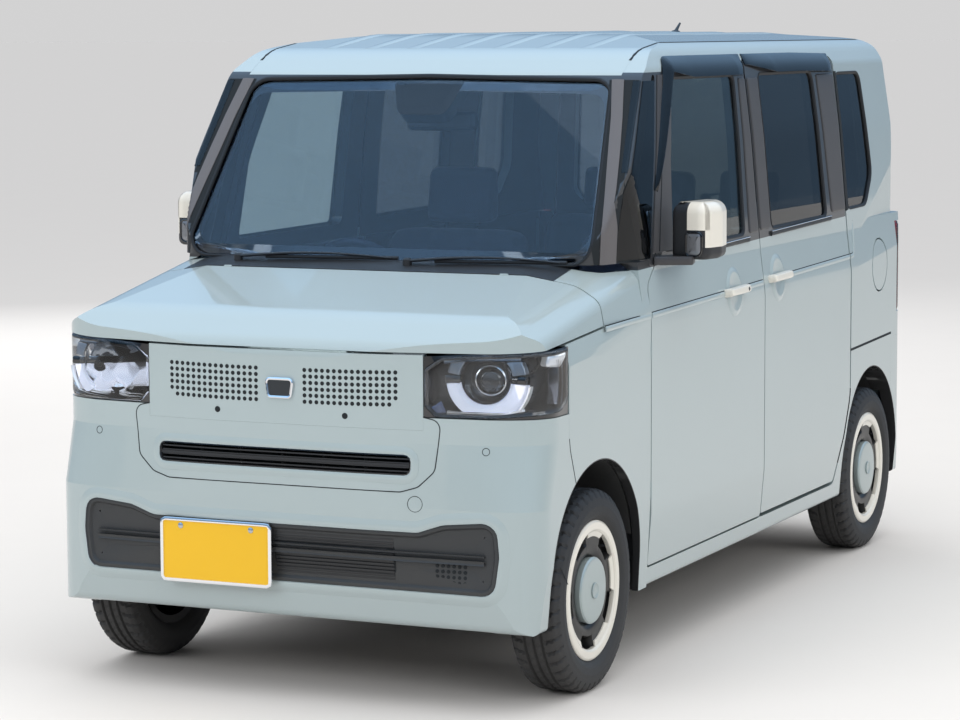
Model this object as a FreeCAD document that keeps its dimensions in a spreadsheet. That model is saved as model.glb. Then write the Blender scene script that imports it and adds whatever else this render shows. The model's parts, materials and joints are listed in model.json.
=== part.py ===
"""Kei car: a tall, boxy one-box car with sliding rear doors, as an assembly of its real pieces.

Frame: origin on the ground below the middle of the car, front towards -Y, the car's left
side towards +X, up is +Z. All sizes are millimetres.
"""
import FreeCAD, Part
import Sketcher
import math
import os
import re
from types import SimpleNamespace

V = FreeCAD.Vector

# Driving dimensions: alias, size in millimetres or degrees, what it is
DIMENSIONS = [
    ("length", 3395, "overall length"),
    ("width", 1475, "overall width without mirrors"),
    ("height", 1790, "overall height"),
    ("wheelbase", 2520, "front axle to rear axle"),
    ("front_overhang", 460, "front end to front axle"),
    ("track", 1305, "between the wheel middle planes"),
    ("tyre_radius", 278.5, "loaded radius of the tyre"),
    ("tyre_width", 155, "section width of the tyre"),
    ("bead_radius", 178, "where the tyre sits on the rim"),
    ("sill_height", 222, "ground to the underside of the body"),
    ("floor_height", 262, "ground to the underside of the floor pan"),
    ("floor_thickness", 36, "floor pan thickness"),
    ("door_bottom", 282, "ground to the lower edge of the doors"),
    ("belt_height", 1150, "ground to the belt line"),
    ("bonnet_rear_drop", 22, "belt line to the bonnet's rear edge"),
    ("bonnet_lip_drop", 178, "belt line to the bonnet's front lip"),
    ("shut_drop", 152, "belt line to the bonnet's side shut line at its rear end"),
    ("bumper_drop", 362, "belt line to the top of the front bumper at the corners"),
    ("grille_drop", 395, "belt line to the lower edge of the panel between the lamps"),
    ("lamp_inner", 413, "half distance between the headlamps"),
    ("lamp_length", 252.5, "front end to the headlamps' rear edge"),
    ("front_arch_radius", 320, "front wheel arch radius"),
    ("rear_arch_radius", 315, "rear wheel arch radius"),
    ("arch_rise", 40, "arch centre above the axle"),
    ("door_setback", 392, "front axle to the front door's leading edge"),
    ("front_door_length", 978, "length of the front door"),
    ("slide_door_end", 252, "sliding door's rear edge ahead of the rear axle"),
    ("cowl_setback", 52, "front axle to the bonnet's rear edge"),
    ("screen_foot", 145, "front axle to the foot of the windscreen"),
    ("screen_head", 500, "front axle to the head of the windscreen"),
    ("screen_head_drop", 122, "roof top to the head of the windscreen"),
    ("door_top_drop", 88, "roof top to the top of the doors"),
    ("window_top_drop", 130, "roof top to the top of the side windows"),
    ("side_wall", 80, "thickness of a door or side below the belt"),
    ("frame_wall", 44, "thickness of the window frames, pillars and roof edge"),
    ("skin", 26, "thickness of the bonnet, fenders and bumpers"),
    ("glass_thickness", 5, "window glass"),
    ("glass_inset", 7, "glass behind the outer skin"),
    ("panel_gap", 6, "gap around doors and lids"),
    ("fit_gap", 0.3, "clearance between neighbouring fixed pieces"),
    ("pillar_edge", 600, "half width of the roof panel"),
    ("tailgate_half", 590, "half width of the tailgate"),
    ("tailgate_bottom", 500, "ground to the lower edge of the tailgate"),
    ("rear_bumper_top", 716, "top of the rear bumper at the corners"),
    ("tail_lamp_bottom", 800, "lower edge of the tail lamps"),
    ("tail_lamp_height", 320, "height of the tail lamps"),
    ("fuel_lid_radius", 88, "radius of the round fuel lid"),
    ("steer_foot", 590, "steering axis at the lower ball joint, from the middle"),
    ("steer_head", 520, "steering axis at the strut top, from the middle"),
    ("ball_joint_height", 165, "ground to the lower ball joint"),
    ("strut_radius", 22, "front strut tube"),
    ("spindle_radius", 20, "wheel spindles"),
    ("steering_wheel_radius", 180, "steering wheel, outside"),
    ("steering_wheel_grip", 14, "radius of the steering wheel's rim section"),
    ("driver_offset", 340, "middle of the car to the middle of a front seat"),
    ("rear_floor_height", 430, "ground to the underside of the load floor"),
    ("seat_width", 500, "width of a front seat"),
    ("jack_pad", 50, "side of a jacking pad"),
    ("tow_bore", 15, "radius of the tow eye's hole"),
    ("tow_thickness", 12, "thickness of the tow eye"),
]

doc = FreeCAD.newDocument("kei_car")
sheet = doc.addObject("Spreadsheet::Sheet", "dims")
for row, (alias, number, meaning) in enumerate(DIMENSIONS, 1):
    sheet.set(f"A{row}", meaning)
    sheet.set(f"B{row}", str(number))
    sheet.setAlias(f"B{row}", alias)
doc.recompute()
d = SimpleNamespace(**{alias: float(sheet.get(alias)) for alias, _, _ in DIMENSIONS})

# Places that follow from the driving dimensions
bonnet_rear_height = d.belt_height - d.bonnet_rear_drop
bonnet_lip_height = d.belt_height - d.bonnet_lip_drop
shut_height = d.belt_height - d.shut_drop
bumper_top = d.belt_height - d.bumper_drop
grille_bottom = d.belt_height - d.grille_drop
half = d.width / 2
nose = -d.length / 2
tail = d.length / 2
front_axle = nose + d.front_overhang
rear_axle = front_axle + d.wheelbase
door_front = front_axle + d.door_setback
door_split = door_front + d.front_door_length
slide_rear = rear_axle - d.slide_door_end
cowl = front_axle + d.cowl_setback
screen_foot = front_axle + d.screen_foot
screen_head = front_axle + d.screen_head
screen_head_height = d.height - d.screen_head_drop
lamp_back = nose + d.lamp_length
door_top = d.height - d.door_top_drop
window_top = d.height - d.window_top_drop
floor_top = d.floor_height + d.floor_thickness
wheel_x = d.track / 2
waist_height = d.belt_height + 0.494 * (d.height - d.belt_height)
FRONT_AXLE = "(front_overhang - length / 2)"
REAR_AXLE = "(front_overhang - length / 2 + wheelbase)"


def bind(target, **expressions):
    """Bind properties to the sheet; dots in a property name are written as two underscores."""
    for name, text in expressions.items():
        words = re.sub(r"\b([a-z]+(?:_[a-z]+)*)\b",
                       lambda m: "dims." + m.group(1) if hasattr(d, m.group(1)) else m.group(1),
                       text)
        target.setExpression(name.replace("__", "."), words)


def box(name, x, y, z, long, wide, tall):
    """A bound Part::Box from expressions for its low corner and its three sizes."""
    made = doc.addObject("Part::Box", name)
    bind(made, Length=long, Width=wide, Height=tall,
         Placement__Base__x=x, Placement__Base__y=y, Placement__Base__z=z)
    return made


def join(label, *members):
    made = doc.addObject("Part::MultiFuse", label + "_join")
    made.Shapes = list(members)
    return made


def solid_feature(label, shape):
    made = doc.addObject("Part::Feature", label)
    made.Shape = shape
    return made


def corners(points, inset):
    """Offset a counter-clockwise outline of (u, v, radius) inwards by inset."""
    moved = []
    count = len(points)
    for i in range(count):
        before, here, after = points[i - 1], points[i], points[(i + 1) % count]
        a = V(here[0] - before[0], here[1] - before[1], 0).normalize()
        b = V(after[0] - here[0], after[1] - here[1], 0).normalize()
        turn = a.x * b.y - a.y * b.x
        normal_a = V(-a.y, a.x, 0)
        normal_b = V(-b.y, b.x, 0)
        middle = (normal_a + normal_b) * (inset / (1 + normal_a.dot(normal_b)))
        radius = here[2] - inset if turn > 0 else here[2] + inset
        moved.append((here[0] + middle.x, here[1] + middle.y, max(radius, 0) if here[2] else 0))
    return moved


def outline(points, plane):
    """A face whose corners are rounded by tangent arcs, in the side, front or plan view."""
    place = {"side": lambda u, v: V(0, u, v), "front": lambda u, v: V(u, 0, v),
             "plan": lambda u, v: V(u, v, 0)}[plane]
    count = len(points)
    stops = []
    for i in range(count):
        before, here, after = points[i - 1], points[i], points[(i + 1) % count]
        back = V(before[0] - here[0], before[1] - here[1], 0)
        ahead = V(after[0] - here[0], after[1] - here[1], 0)
        corner = V(here[0], here[1], 0)
        if not here[2]:
            stops.append((corner, None, corner))
            continue
        angle = back.getAngle(ahead)
        reach = here[2] / math.tan(angle / 2)
        reach = min(reach, 0.49 * back.Length, 0.49 * ahead.Length)
        radius = reach * math.tan(angle / 2)
        start = corner + back.normalize() * reach
        end = corner + ahead.normalize() * reach
        bisector = (back + ahead).normalize()
        middle = corner + bisector * (radius / math.sin(angle / 2) - radius)
        stops.append((start, middle, end))
    edges = []
    for i in range(count):
        start, middle, end = stops[i]
        following = stops[(i + 1) % count][0]
        if middle is not None:
            edges.append(Part.Arc(*[place(p.x, p.y) for p in (start, middle, end)]).toShape())
        if (following - end).Length > 1e-6:
            edges.append(Part.LineSegment(place(end.x, end.y), place(following.x, following.y)).toShape())
    return Part.Face(Part.Wire(edges))


def prism(points, plane, low, high, tilt=0.0):
    """Carry an outline along its normal from low to high; tilt raises it per length along Y."""
    normal = {"side": V(1, 0, 0), "front": V(0, 1, tilt), "plan": V(0, 0, 1)}[plane]
    face = outline(points, plane)
    face.translate(normal * low)
    return face.extrude(normal * (high - low))


def mirrored(points):
    """Close the right half of a symmetric outline (bottom to top) with its left half."""
    return points + [(-u, v, r) for u, v, r in reversed(points) if u]


def both(shape):
    return Part.makeCompound([shape, shape.mirror(V(0, 0, 0), V(1, 0, 0))])


def lump(shape, least=2000):
    """The solids of a boolean's result, largest first, without slivers."""
    solids = sorted(shape.Solids, key=lambda s: -s.Volume)
    kept = [s for s in solids if s.Volume > least]
    return kept[0] if len(kept) == 1 else Part.makeCompound(kept)


def moved(shape, x=0.0, y=0.0, z=0.0):
    copy = shape.copy()
    copy.translate(V(x, y, z))
    return copy


def hinge(point, axis, inward, normal, radius=2.6, length=24):
    """Barrels side by side on one axis, each with a tab: the moving panel's and the fixed one's.

    inward points from the axis to the moving panel, normal points out of the skin.
    """
    place = FreeCAD.Placement(point, FreeCAD.Rotation(axis, inward, normal, "XYZ"))
    pieces = []
    for start, tab_start in ((-length, 0), (d.fit_gap, -TAB_REACH)):
        barrel = Part.makeCylinder(radius, length, V(start, 0, 0), V(1, 0, 0))
        tab = Part.makeBox(length, TAB_REACH, TAB_DEPTH, V(start, tab_start, -TAB_DEPTH - 0.5))
        piece = barrel.fuse(tab)
        piece.Placement = place
        pieces.append(piece)
    return pieces


TAB_REACH = 7
TAB_DEPTH = 7

# Forms of the body. Each volume is a side outline, a front section and a plan outline,
# carried across the car and intersected; an inset gives the inner face of its wall.

SIDE_LOWER = [
    (nose + 50, d.sill_height, 30),
    (tail - 50, d.sill_height, 30),
    (tail, 430, 150),
    (tail, d.belt_height - 250, 300),
    (tail - 36, d.belt_height, 0),
    (screen_foot - 10, d.belt_height, 0),
    (cowl, bonnet_rear_height, 400),
    (nose + 140, bonnet_lip_height + 72, 260),
    (nose + 12, bonnet_lip_height, 60),
    (nose + 12, 430, 200),
]
SECTION_LOWER = mirrored([
    (half - 18, d.sill_height, 15),
    (half, 430, 300),
    (half, d.belt_height - 170, 250),
    (half - 21.5, d.belt_height, 0),
])
SECTION_FRONT = mirrored([
    (half - 18, d.sill_height - 150, 15),
    (half, 430, 300),
    (half, bonnet_rear_height - 180, 220),
    (half - 22, bonnet_rear_height - 66, 50),
    (half - 90, bonnet_rear_height - 24, 120),
    (half - 260, bonnet_rear_height + 4, 500),
    (0, bonnet_rear_height + 12, 0),
])
FRONT_TILT = 0.18


def plan_outline(front_radius, front_sweep):
    """Plan of the car: bowed front and rear, straight sides, rounded corners."""
    right = [
        (250, nose + 12, 2000),
        (half - 110, nose + 12 + front_sweep, 300),
        (half - 4, nose + 30 + 2.2 * front_sweep, front_radius),
        (half, front_axle, 3000),
        (half, rear_axle - 300, 3000),
        (half - 8, tail - 30, 120),
        (half - 150, tail - 8, 200),
        (0, tail, 2500),
    ]
    return right + [(-u, v, r) for u, v, r in reversed(right) if u]


def lower_volume(inset):
    block = prism(corners(SIDE_LOWER, inset), "side", -half, half)
    block = block.common(prism(corners(SECTION_LOWER, inset), "front", nose, tail))
    return block.common(prism(corners(plan_outline(120, 20), inset), "plan", 0, d.height))


def lower_void(inset):
    """The room inside the side and rear walls below the belt, open upwards and downwards."""
    section = [list(p) for p in corners(SECTION_LOWER, inset)]
    for i, side in ((0, 1), (-1, -1)):
        section[i] = [side * (half - inset), 0, 0]
    for i in (1, -2):
        section[i][2] = 0
    for i in (3, 4):
        section[i][1] = d.belt_height
    right = corners(plan_outline(120, 20), inset)[3:8]
    right[0] = (right[0][0], nose + 200, 0)
    plan = right + [(-u, v, r) for u, v, r in reversed(right) if u]
    return prism(section, "front", nose + 200, tail - inset).common(prism(plan, "plan", 0, d.height))


def front_volume():
    """The front of the car down to the sill; its section rises towards the windscreen."""
    section = prism(SECTION_FRONT, "front", nose - cowl, 600, FRONT_TILT)
    section.translate(V(0, cowl, 0))
    block = prism(SIDE_LOWER, "side", -half, half).common(section)
    return block.common(prism(plan_outline(230, 42), "plan", 0, d.height))


def front_void(inset):
    """The room behind the front skin, open downwards and to the rear."""
    crown = corners(SIDE_LOWER, inset)[5:9]
    rear = door_front + 400
    side = [(crown[-1][0], 0, 0), (rear, 0, 0), (rear, crown[0][1], 0)] + crown
    section = corners(SECTION_FRONT, inset)
    ends = len(section) - 1
    section = [(u, -500 if i in (0, ends) else v, r) for i, (u, v, r) in enumerate(section)]
    right = corners(plan_outline(230, 42), inset)[:4] + [(half - inset, rear, 0)]
    plan = right + [(-u, v, r) for u, v, r in reversed(right)]
    void = prism(section, "front", nose - cowl, rear - cowl, FRONT_TILT)
    void.translate(V(0, cowl, 0))
    void = void.common(prism(side, "side", -half, half))
    return void.common(prism(plan, "plan", 0, d.height))


SIDE_UPPER = [
    (screen_foot - 6, d.belt_height - 30, 0),
    (tail - 30, d.belt_height - 30, 0),
    (tail - 96, d.height - 60, 60),
    (tail - 190, d.height - 24, 500),
    (rear_axle - 500, d.height, 3000),
    (screen_head + 500, d.height - 6, 1500),
    (screen_head + 130, d.height - 52, 300),
    (screen_head, screen_head_height, 90),
]
SECTION_UPPER = mirrored([
    (half - 17, d.belt_height - 30, 0),
    (half - 48, waist_height, 2500),
    (half - 75, d.height - 104, 60),
    (half - 110, d.height - 34, 80),
    (half - 300, d.height - 8, 500),
    (0, d.height, 0),
])
PLAN_UPPER_RIGHT = [
    (0, screen_foot - 8, 3000),
    (half - 90, screen_foot + 44, 60),
    (half, screen_foot + 330, 2500),
    (half, rear_axle - 500, 3000),
    (half - 38, tail - 40, 130),
    (half - 180, tail - 8, 300),
    (0, tail, 2500),
]
PLAN_UPPER = PLAN_UPPER_RIGHT + [(-u, v, r) for u, v, r in reversed(PLAN_UPPER_RIGHT) if u]


def upper_volume(inset):
    block = prism(corners(SIDE_UPPER, inset), "side", -half, half)
    block = block.common(prism(corners(SECTION_UPPER, inset), "front", nose, tail))
    return block.common(prism(corners(PLAN_UPPER, inset), "plan", 0, d.height + 50))


def grow(points, amount):
    return corners(points, -amount)


def hollow_upper(inset):
    """The greenhouse volume with an inset on its walls only; it stays open at the belt."""
    side = [list(p) for p in corners(SIDE_UPPER, inset)]
    for i in (0, 1):
        side[i][1] = d.belt_height - 30
    section = [list(p) for p in corners(SECTION_UPPER, inset)]
    section[0][1] = section[-1][1] = d.belt_height - 30
    block = prism(side, "side", -half, half).common(prism(section, "front", nose, tail))
    return block.common(prism(corners(PLAN_UPPER, inset), "plan", 0, d.height + 50))


lower_out = lower_volume(0)
front_out = front_volume()
front_skin = front_out.cut(front_void(d.skin))
upper_out = upper_volume(0)
cabin_void = lower_void(d.side_wall).fuse(hollow_upper(d.frame_wall))
cabin_shell = lower_out.fuse(upper_out).cut(cabin_void)
window_layer = hollow_upper(d.glass_inset).cut(hollow_upper(d.glass_inset + d.glass_thickness))


def pane_height(share):
    """A height between the belt line and the top of the side windows."""
    return d.belt_height + share * (window_top - d.belt_height)


# Outlines of the openings in the side view (y, z, corner radius), counter-clockwise
FRONT_DOOR = [
    (door_front, d.door_bottom, 12),
    (door_split, d.door_bottom, 12),
    (door_split, door_top, 20),
    (door_front + 275, door_top, 60),
    (door_front + 70, d.belt_height - 20, 60),
    (door_front, d.belt_height - 70, 40),
]
SLIDE_DOOR = [
    (door_split, d.door_bottom, 12),
    (slide_rear - 150, d.door_bottom, 30),
    (slide_rear, 560, 120),
    (slide_rear, door_top, 30),
    (door_split, door_top, 20),
]
FRONT_WINDOW = [
    (door_front + 156, d.belt_height + 16, 20),
    (door_split - 130, d.belt_height + 20, 25),
    (door_split - 100, window_top, 25),
    (door_front + 336, window_top, 40),
    (door_front + 196, pane_height(0.49), 90),
]
SLIDE_WINDOW = [
    (door_split + 125, d.belt_height + 24, 25),
    (slide_rear - 205, d.belt_height + 30, 25),
    (slide_rear - 232, window_top, 40),
    (door_split + 122, window_top, 25),
]
QUARTER_WINDOW = [
    (slide_rear + 30, d.belt_height + 40, 25),
    (slide_rear + 235, d.belt_height + 44, 70),
    (slide_rear + 330, pane_height(0.294), 80),
    (slide_rear + 285, window_top - 10, 45),
    (slide_rear + 20, window_top - 10, 25),
]
VENT_WINDOW = [
    (door_front - 160, d.belt_height + 4, 15),
    (door_front + 40, d.belt_height + 4, 15),
    (door_front + 205, window_top + 8, 15),
    (door_front + 185, window_top + 8, 12),
]
SCREEN = mirrored([
    (half - 96, d.belt_height - 2, 60),
    (half - 160, screen_head_height - 12, 60),
    (0, screen_head_height - 2, 0),
])
TAILGATE = [
    (-d.tailgate_half, d.tailgate_bottom, 40),
    (d.tailgate_half, d.tailgate_bottom, 40),
    (d.tailgate_half, d.tail_lamp_bottom + d.tail_lamp_height, 100),
    (d.tailgate_half - 50, d.height - 78, 90),
    (-d.tailgate_half + 50, d.height - 78, 90),
    (-d.tailgate_half, d.tail_lamp_bottom + d.tail_lamp_height, 100),
]
REAR_WINDOW = [
    (-d.tailgate_half + 70, d.belt_height + 6, 60),
    (d.tailgate_half - 70, d.belt_height + 6, 60),
    (d.tailgate_half - 105, window_top, 60),
    (-d.tailgate_half + 105, window_top, 60),
]
TAIL_LAMP = [
    (d.tailgate_half + d.panel_gap, d.tail_lamp_bottom, 20),
    (half + 20, d.tail_lamp_bottom, 0),
    (half + 20, d.tail_lamp_bottom + d.tail_lamp_height, 0),
    (d.tailgate_half + d.panel_gap, d.tail_lamp_bottom + d.tail_lamp_height, 20),
]


def side_cut(points, amount=0.0, depth=300):
    """A prism through the left side only, grown or shrunk by a clearance."""
    return prism(grow(points, amount), "side", half - depth, half + 60)


def wheel_tunnel(axle, radius, inner, outer):
    """The round space of a wheel arch, open downwards."""
    centre = d.tyre_radius + d.arch_rise
    tube = Part.makeCylinder(radius, outer - inner, V(inner, axle, centre), V(1, 0, 0))
    return tube.fuse(Part.makeBox(outer - inner, 2 * radius, centre, V(inner, axle - radius, 0)))


front_arch = wheel_tunnel(front_axle, d.front_arch_radius, 200, half + 60)
rear_arch = wheel_tunnel(rear_axle, d.rear_arch_radius, 200, half + 60)


def room(x0, x1, y0, y1, z0, z1):
    return Part.makeBox(x1 - x0, y1 - y0, z1 - z0, V(x0, y0, z0))


# Body sides: sill, pillars, roof rail and rear quarter, one piece each side
BUMPER_SEAM = tail - 175
side_region = room(d.side_wall, half + 20, door_front - 58, tail + 20, 0, d.height + 20)
side_region = side_region.cut(room(0, half - d.side_wall, nose, BUMPER_SEAM + 60, 0, d.belt_height - 60))
side_region = side_region.fuse(room(d.side_wall, half + 20, nose, door_front, d.belt_height, d.height + 20))
rear_bumper_region = room(-half - 20, half + 20, BUMPER_SEAM, tail + 20, 0, d.rear_bumper_top)
body_side = cabin_shell.common(side_region)
body_side = body_side.cut(room(0, d.pillar_edge + d.fit_gap, nose, tail + 20, window_top + 8, d.height + 20))
body_side = body_side.cut(prism(grow(SCREEN, d.fit_gap), "front", nose, door_split))
body_side = body_side.cut(room(0, d.pillar_edge, nose, door_front, d.belt_height - 40, window_top + 10))
body_side = body_side.cut(front_skin.common(room(0, half + 20, nose, door_front - 3, 0, d.belt_height)))
for opening, clearance in ((FRONT_DOOR, d.panel_gap), (SLIDE_DOOR, d.panel_gap),
                           (QUARTER_WINDOW, d.fit_gap), (VENT_WINDOW, d.fit_gap)):
    body_side = body_side.cut(side_cut(opening, clearance))
body_side = body_side.cut(rear_arch).cut(front_arch)
body_side = body_side.cut(rear_bumper_region)
body_side = body_side.cut(prism(grow(TAILGATE, d.panel_gap), "front", rear_axle + 60, tail + 20))
body_side = body_side.cut(prism(grow(TAIL_LAMP, d.fit_gap), "front", tail - 110, tail + 20))
fuel_y = rear_axle + 92
fuel_z = d.belt_height - 170
body_side_left = body_side.cut(Part.makeCylinder(d.fuel_lid_radius + d.panel_gap, 40,
                                                 V(half - 30, fuel_y, fuel_z), V(1, 0, 0)))
fuel_axis_y = fuel_y - d.fuel_lid_radius - 2.5
probe = Part.makeLine(V(0, fuel_axis_y, fuel_z), V(half + 20, fuel_axis_y, fuel_z)).common(lower_out)
lid_axis = V(probe.BoundBox.XMax + 0.4, fuel_axis_y, fuel_z)
lid_barrels, lid_ears = hinge(lid_axis, V(0, 0, -1), V(0, 1, 0), V(1, 0, 0), radius=2, length=9)
body_side_left = body_side_left.fuse(lid_ears)
solid_feature("body_side_left", lump(body_side_left, 60000))
solid_feature("body_side_right", lump(body_side.mirror(V(0, 0, 0), V(1, 0, 0)), 60000))

# Roof panel with its front and rear headers
roof = cabin_shell.common(room(-d.pillar_edge, d.pillar_edge, nose, tail + 20,
                               window_top + 8, d.height + 20))
roof = roof.cut(prism(grow(SCREEN, d.fit_gap), "front", nose, door_split))
roof = roof.cut(prism(grow(TAILGATE, d.panel_gap), "front", rear_axle + 60, tail + 20))
GATE_AXIS_Y = tail - 97
GATE_AXIS_Z = d.height - 75
gate_barrels, gate_ears = hinge(V(400, GATE_AXIS_Y, GATE_AXIS_Z), V(1, 0, 0), V(0, 0, -1), V(0, 1, 0))
solid_feature("roof_panel", lump(roof.fuse(both(gate_ears))))

# Windscreen and the fixed side windows
screen = window_layer.common(prism(SCREEN, "front", nose, door_front + 400))
solid_feature("windscreen", lump(screen))
panes = [window_layer.common(side_cut(points)) for points in (VENT_WINDOW, QUARTER_WINDOW, SLIDE_WINDOW)]
solid_feature("side_glass", Part.makeCompound([both(lump(pane)) for pane in panes]))

# Doors
door = cabin_shell.common(side_cut(FRONT_DOOR)).cut(side_cut(FRONT_WINDOW, d.fit_gap))
door = door.cut(room(0, half - 160, nose, tail, 0, d.height))
door = door.cut(room(0, half - 30, door_split - 8, door_split + 1, 0, d.height))
door_ears = []
for level in (500, 900):
    pin = V(half + 0.4, door_front - d.panel_gap / 2, level)
    barrels, ears = hinge(pin, V(0, 0, -1), V(0, 1, 0), V(1, 0, 0))
    door = door.fuse(barrels)
    door_ears.append(ears)
slide = cabin_shell.common(side_cut(SLIDE_DOOR, -d.panel_gap)).cut(side_cut(SLIDE_WINDOW, d.fit_gap))
slide = slide.cut(room(0, half - 160, nose, tail, 0, d.height)).cut(rear_arch)
door_pane = lump(window_layer.common(side_cut(FRONT_WINDOW)))
for side, sign in (("left", 1), ("right", -1)):
    turn = (lambda s: s) if sign > 0 else (lambda s: s.mirror(V(0, 0, 0), V(1, 0, 0)))
    solid_feature("front_door_" + side, lump(turn(door)))
    solid_feature("door_glass_" + side, lump(turn(door_pane)))
solid_feature("slide_doors", both(lump(slide)))

# Tailgate with its window
gate = cabin_shell.common(prism(TAILGATE, "front", rear_axle + 60, tail + 20))
gate = gate.cut(prism(grow(REAR_WINDOW, d.fit_gap), "front", rear_axle, tail + 20))
gate = gate.fuse(both(gate_barrels))
solid_feature("tailgate", lump(gate))
rear_pane = window_layer.common(prism(REAR_WINDOW, "front", rear_axle, tail + 20))
solid_feature("tailgate_glass", lump(rear_pane))

# Tail lamps and rear bumper
lamp = cabin_shell.common(prism(TAIL_LAMP, "front", tail - 110 + d.fit_gap, tail + 20))
solid_feature("tail_lamps", both(lump(lamp)))
rear_skin = lower_out.cut(lower_volume(d.skin + 14))
rear_bumper = rear_skin.common(room(-half - 20, half + 20, BUMPER_SEAM + d.fit_gap, tail + 20, 0,
                                    d.rear_bumper_top - d.fit_gap))
rear_bumper = rear_bumper.cut(prism(grow(TAILGATE, d.panel_gap), "front", rear_axle, tail + 20))
rear_bumper = rear_bumper.cut(both(rear_arch))
rear_bumper = rear_bumper.cut(room(-half + 140, half - 140, BUMPER_SEAM, tail - 75, 0, 300))
solid_feature("rear_bumper", lump(rear_bumper))

# Fuel lid, a round plate in the left rear quarter
lid = lower_out.cut(lower_volume(8)).common(
    Part.makeCylinder(d.fuel_lid_radius, 40, V(half - 30, fuel_y, fuel_z), V(1, 0, 0)))
solid_feature("fuel_lid", lump(lid.fuse(lid_barrels)))

# Bonnet, fenders, cowl, lamps and the panel between them share the front volume
SHUT_SLOPE = 0.08
FENDER_FOOT = bumper_top - 228


def shut_line(y, offset=0.0):
    return shut_height + SHUT_SLOPE * (y - cowl) + offset


def above_shut(offset, rear):
    return prism([(nose - 50, shut_line(nose - 50, offset), 0), (rear, shut_line(rear, offset), 0),
                  (rear, d.height, 0), (nose - 50, d.height, 0)], "side", -half - 20, half + 20)


bonnet_axis = V(420, cowl + d.panel_gap / 2, bonnet_rear_height + 1.2)
bonnet_barrels, bonnet_ears = hinge(bonnet_axis, V(-1, 0, 0), V(0, -1, 0), V(0, 0, 1))
bonnet = front_skin.common(above_shut(0, cowl)).fuse(both(bonnet_barrels))
solid_feature("bonnet", lump(bonnet))
fender_region = room(0, half + 20, lamp_back, door_front - d.panel_gap, 0, d.belt_height + 20)
fender = front_skin.common(fender_region).cut(above_shut(-d.panel_gap, cowl + d.panel_gap))
cowl_half = d.pillar_edge - 20
fender = fender.cut(front_arch)
fender = fender.cut(room(0, cowl_half, nose, door_front, d.sill_height, d.belt_height + 20))
fender = fender.cut(room(0, half + 20, lamp_back - 5, front_axle, 0, FENDER_FOOT))
fender = fender.cut(upper_out).fuse(door_ears)
solid_feature("front_fenders", both(lump(fender)))
cowl_top = front_skin.common(room(-cowl_half + d.fit_gap, cowl_half - d.fit_gap, cowl + d.panel_gap,
                                  door_front, bonnet_rear_height - 120, d.belt_height + 20))
cowl_top = cowl_top.cut(upper_out).fuse(both(bonnet_ears))
solid_feature("cowl_panel", lump(cowl_top))

LAMP_DEPTH = 110
lamp_space = room(d.lamp_inner, half + 20, nose - 10, lamp_back - d.fit_gap,
                  bumper_top + d.fit_gap, d.height)
headlamp = front_out.cut(front_void(LAMP_DEPTH)).common(lamp_space).cut(above_shut(-d.panel_gap, cowl))
solid_feature("headlamps", both(lump(headlamp)))
panel = front_skin.common(room(-d.lamp_inner + d.fit_gap, d.lamp_inner - d.fit_gap, nose - 10, nose + 80,
                               grille_bottom, d.height)).cut(above_shut(-d.panel_gap, cowl))
solid_feature("grille_panel", lump(panel))

# Front bumper with its two openings
UPPER_INTAKE_RIGHT = [(380, bumper_top - 155, 20), (380, bumper_top - 98, 20)]
LOWER_INTAKE_RIGHT = [(615, 0.411 * bumper_top, 40), (628, 0.546 * bumper_top, 60),
                      (620, 0.662 * bumper_top, 40), (470, 0.645 * bumper_top, 60),
                      (400, 0.614 * bumper_top, 60)]
UPPER_INTAKE = mirrored(UPPER_INTAKE_RIGHT)
LOWER_INTAKE = mirrored(LOWER_INTAKE_RIGHT)
SWELL_LOW = bumper_top - 238
SWELL_HIGH = bumper_top - 68
bumper_low = lower_out.cut(lower_volume(d.skin)).common(
    room(-half - 20, half + 20, nose - 10, lamp_back + 30, 0, SWELL_LOW))
bumper_high = front_skin.common(
    room(-half - 20, half + 20, nose - 10, lamp_back + 30, SWELL_HIGH, bumper_top))


def swell(inset):
    """The bumper's corners draw in from the wide plan below to the narrow one under the lamps."""
    wires = []
    for level, plan in ((SWELL_LOW, plan_outline(120, 20)), (SWELL_HIGH, plan_outline(230, 42))):
        wires.append(moved(outline(corners(plan, inset), "plan").OuterWire, z=level))
    return Part.makeLoft(wires, True, True)


bumper_swell = swell(0).cut(swell(d.skin)).common(
    room(-half - 20, half + 20, nose - 10, lamp_back + 30, SWELL_LOW, SWELL_HIGH))
front_bumper = bumper_low.fuse([bumper_swell, bumper_high])
front_bumper = front_bumper.cut(both(front_arch))
front_bumper = front_bumper.cut(both(room(0, half + 20, lamp_back - d.fit_gap, front_axle,
                                      FENDER_FOOT - d.fit_gap, bumper_top)))
front_bumper = front_bumper.cut(room(-d.lamp_inner, d.lamp_inner, nose - 10, nose + 120,
                                     grille_bottom - d.fit_gap, d.height))
front_bumper = front_bumper.cut(room(-half + 140, half - 140, nose + 60, front_axle, 0, d.height))
for opening in (UPPER_INTAKE, LOWER_INTAKE):
    front_bumper = front_bumper.cut(prism(grow(opening, d.fit_gap), "front", nose - 10, nose + 120))
solid_feature("front_bumper", lump(front_bumper))


def louvres(opening, rows, inset):
    """A grille: a frame plate behind the skin, slotted in level rows."""
    plate = lower_volume(inset).cut(lower_volume(inset + 22)).common(
        prism(opening, "front", nose - 10, nose + 110))
    low = min(v for _, v, _ in opening)
    high = max(v for _, v, _ in opening)
    wide = min(u for u, _, _ in opening if u > 0) - 26
    pitch = (high - low) / (rows + 1)
    for row in range(1, rows + 1):
        level = low + row * pitch
        slot = 0.26 * pitch
        plate = plate.cut(room(-wide, wide, nose - 10, nose + 110, level - slot, level + slot))
    return plate


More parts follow.
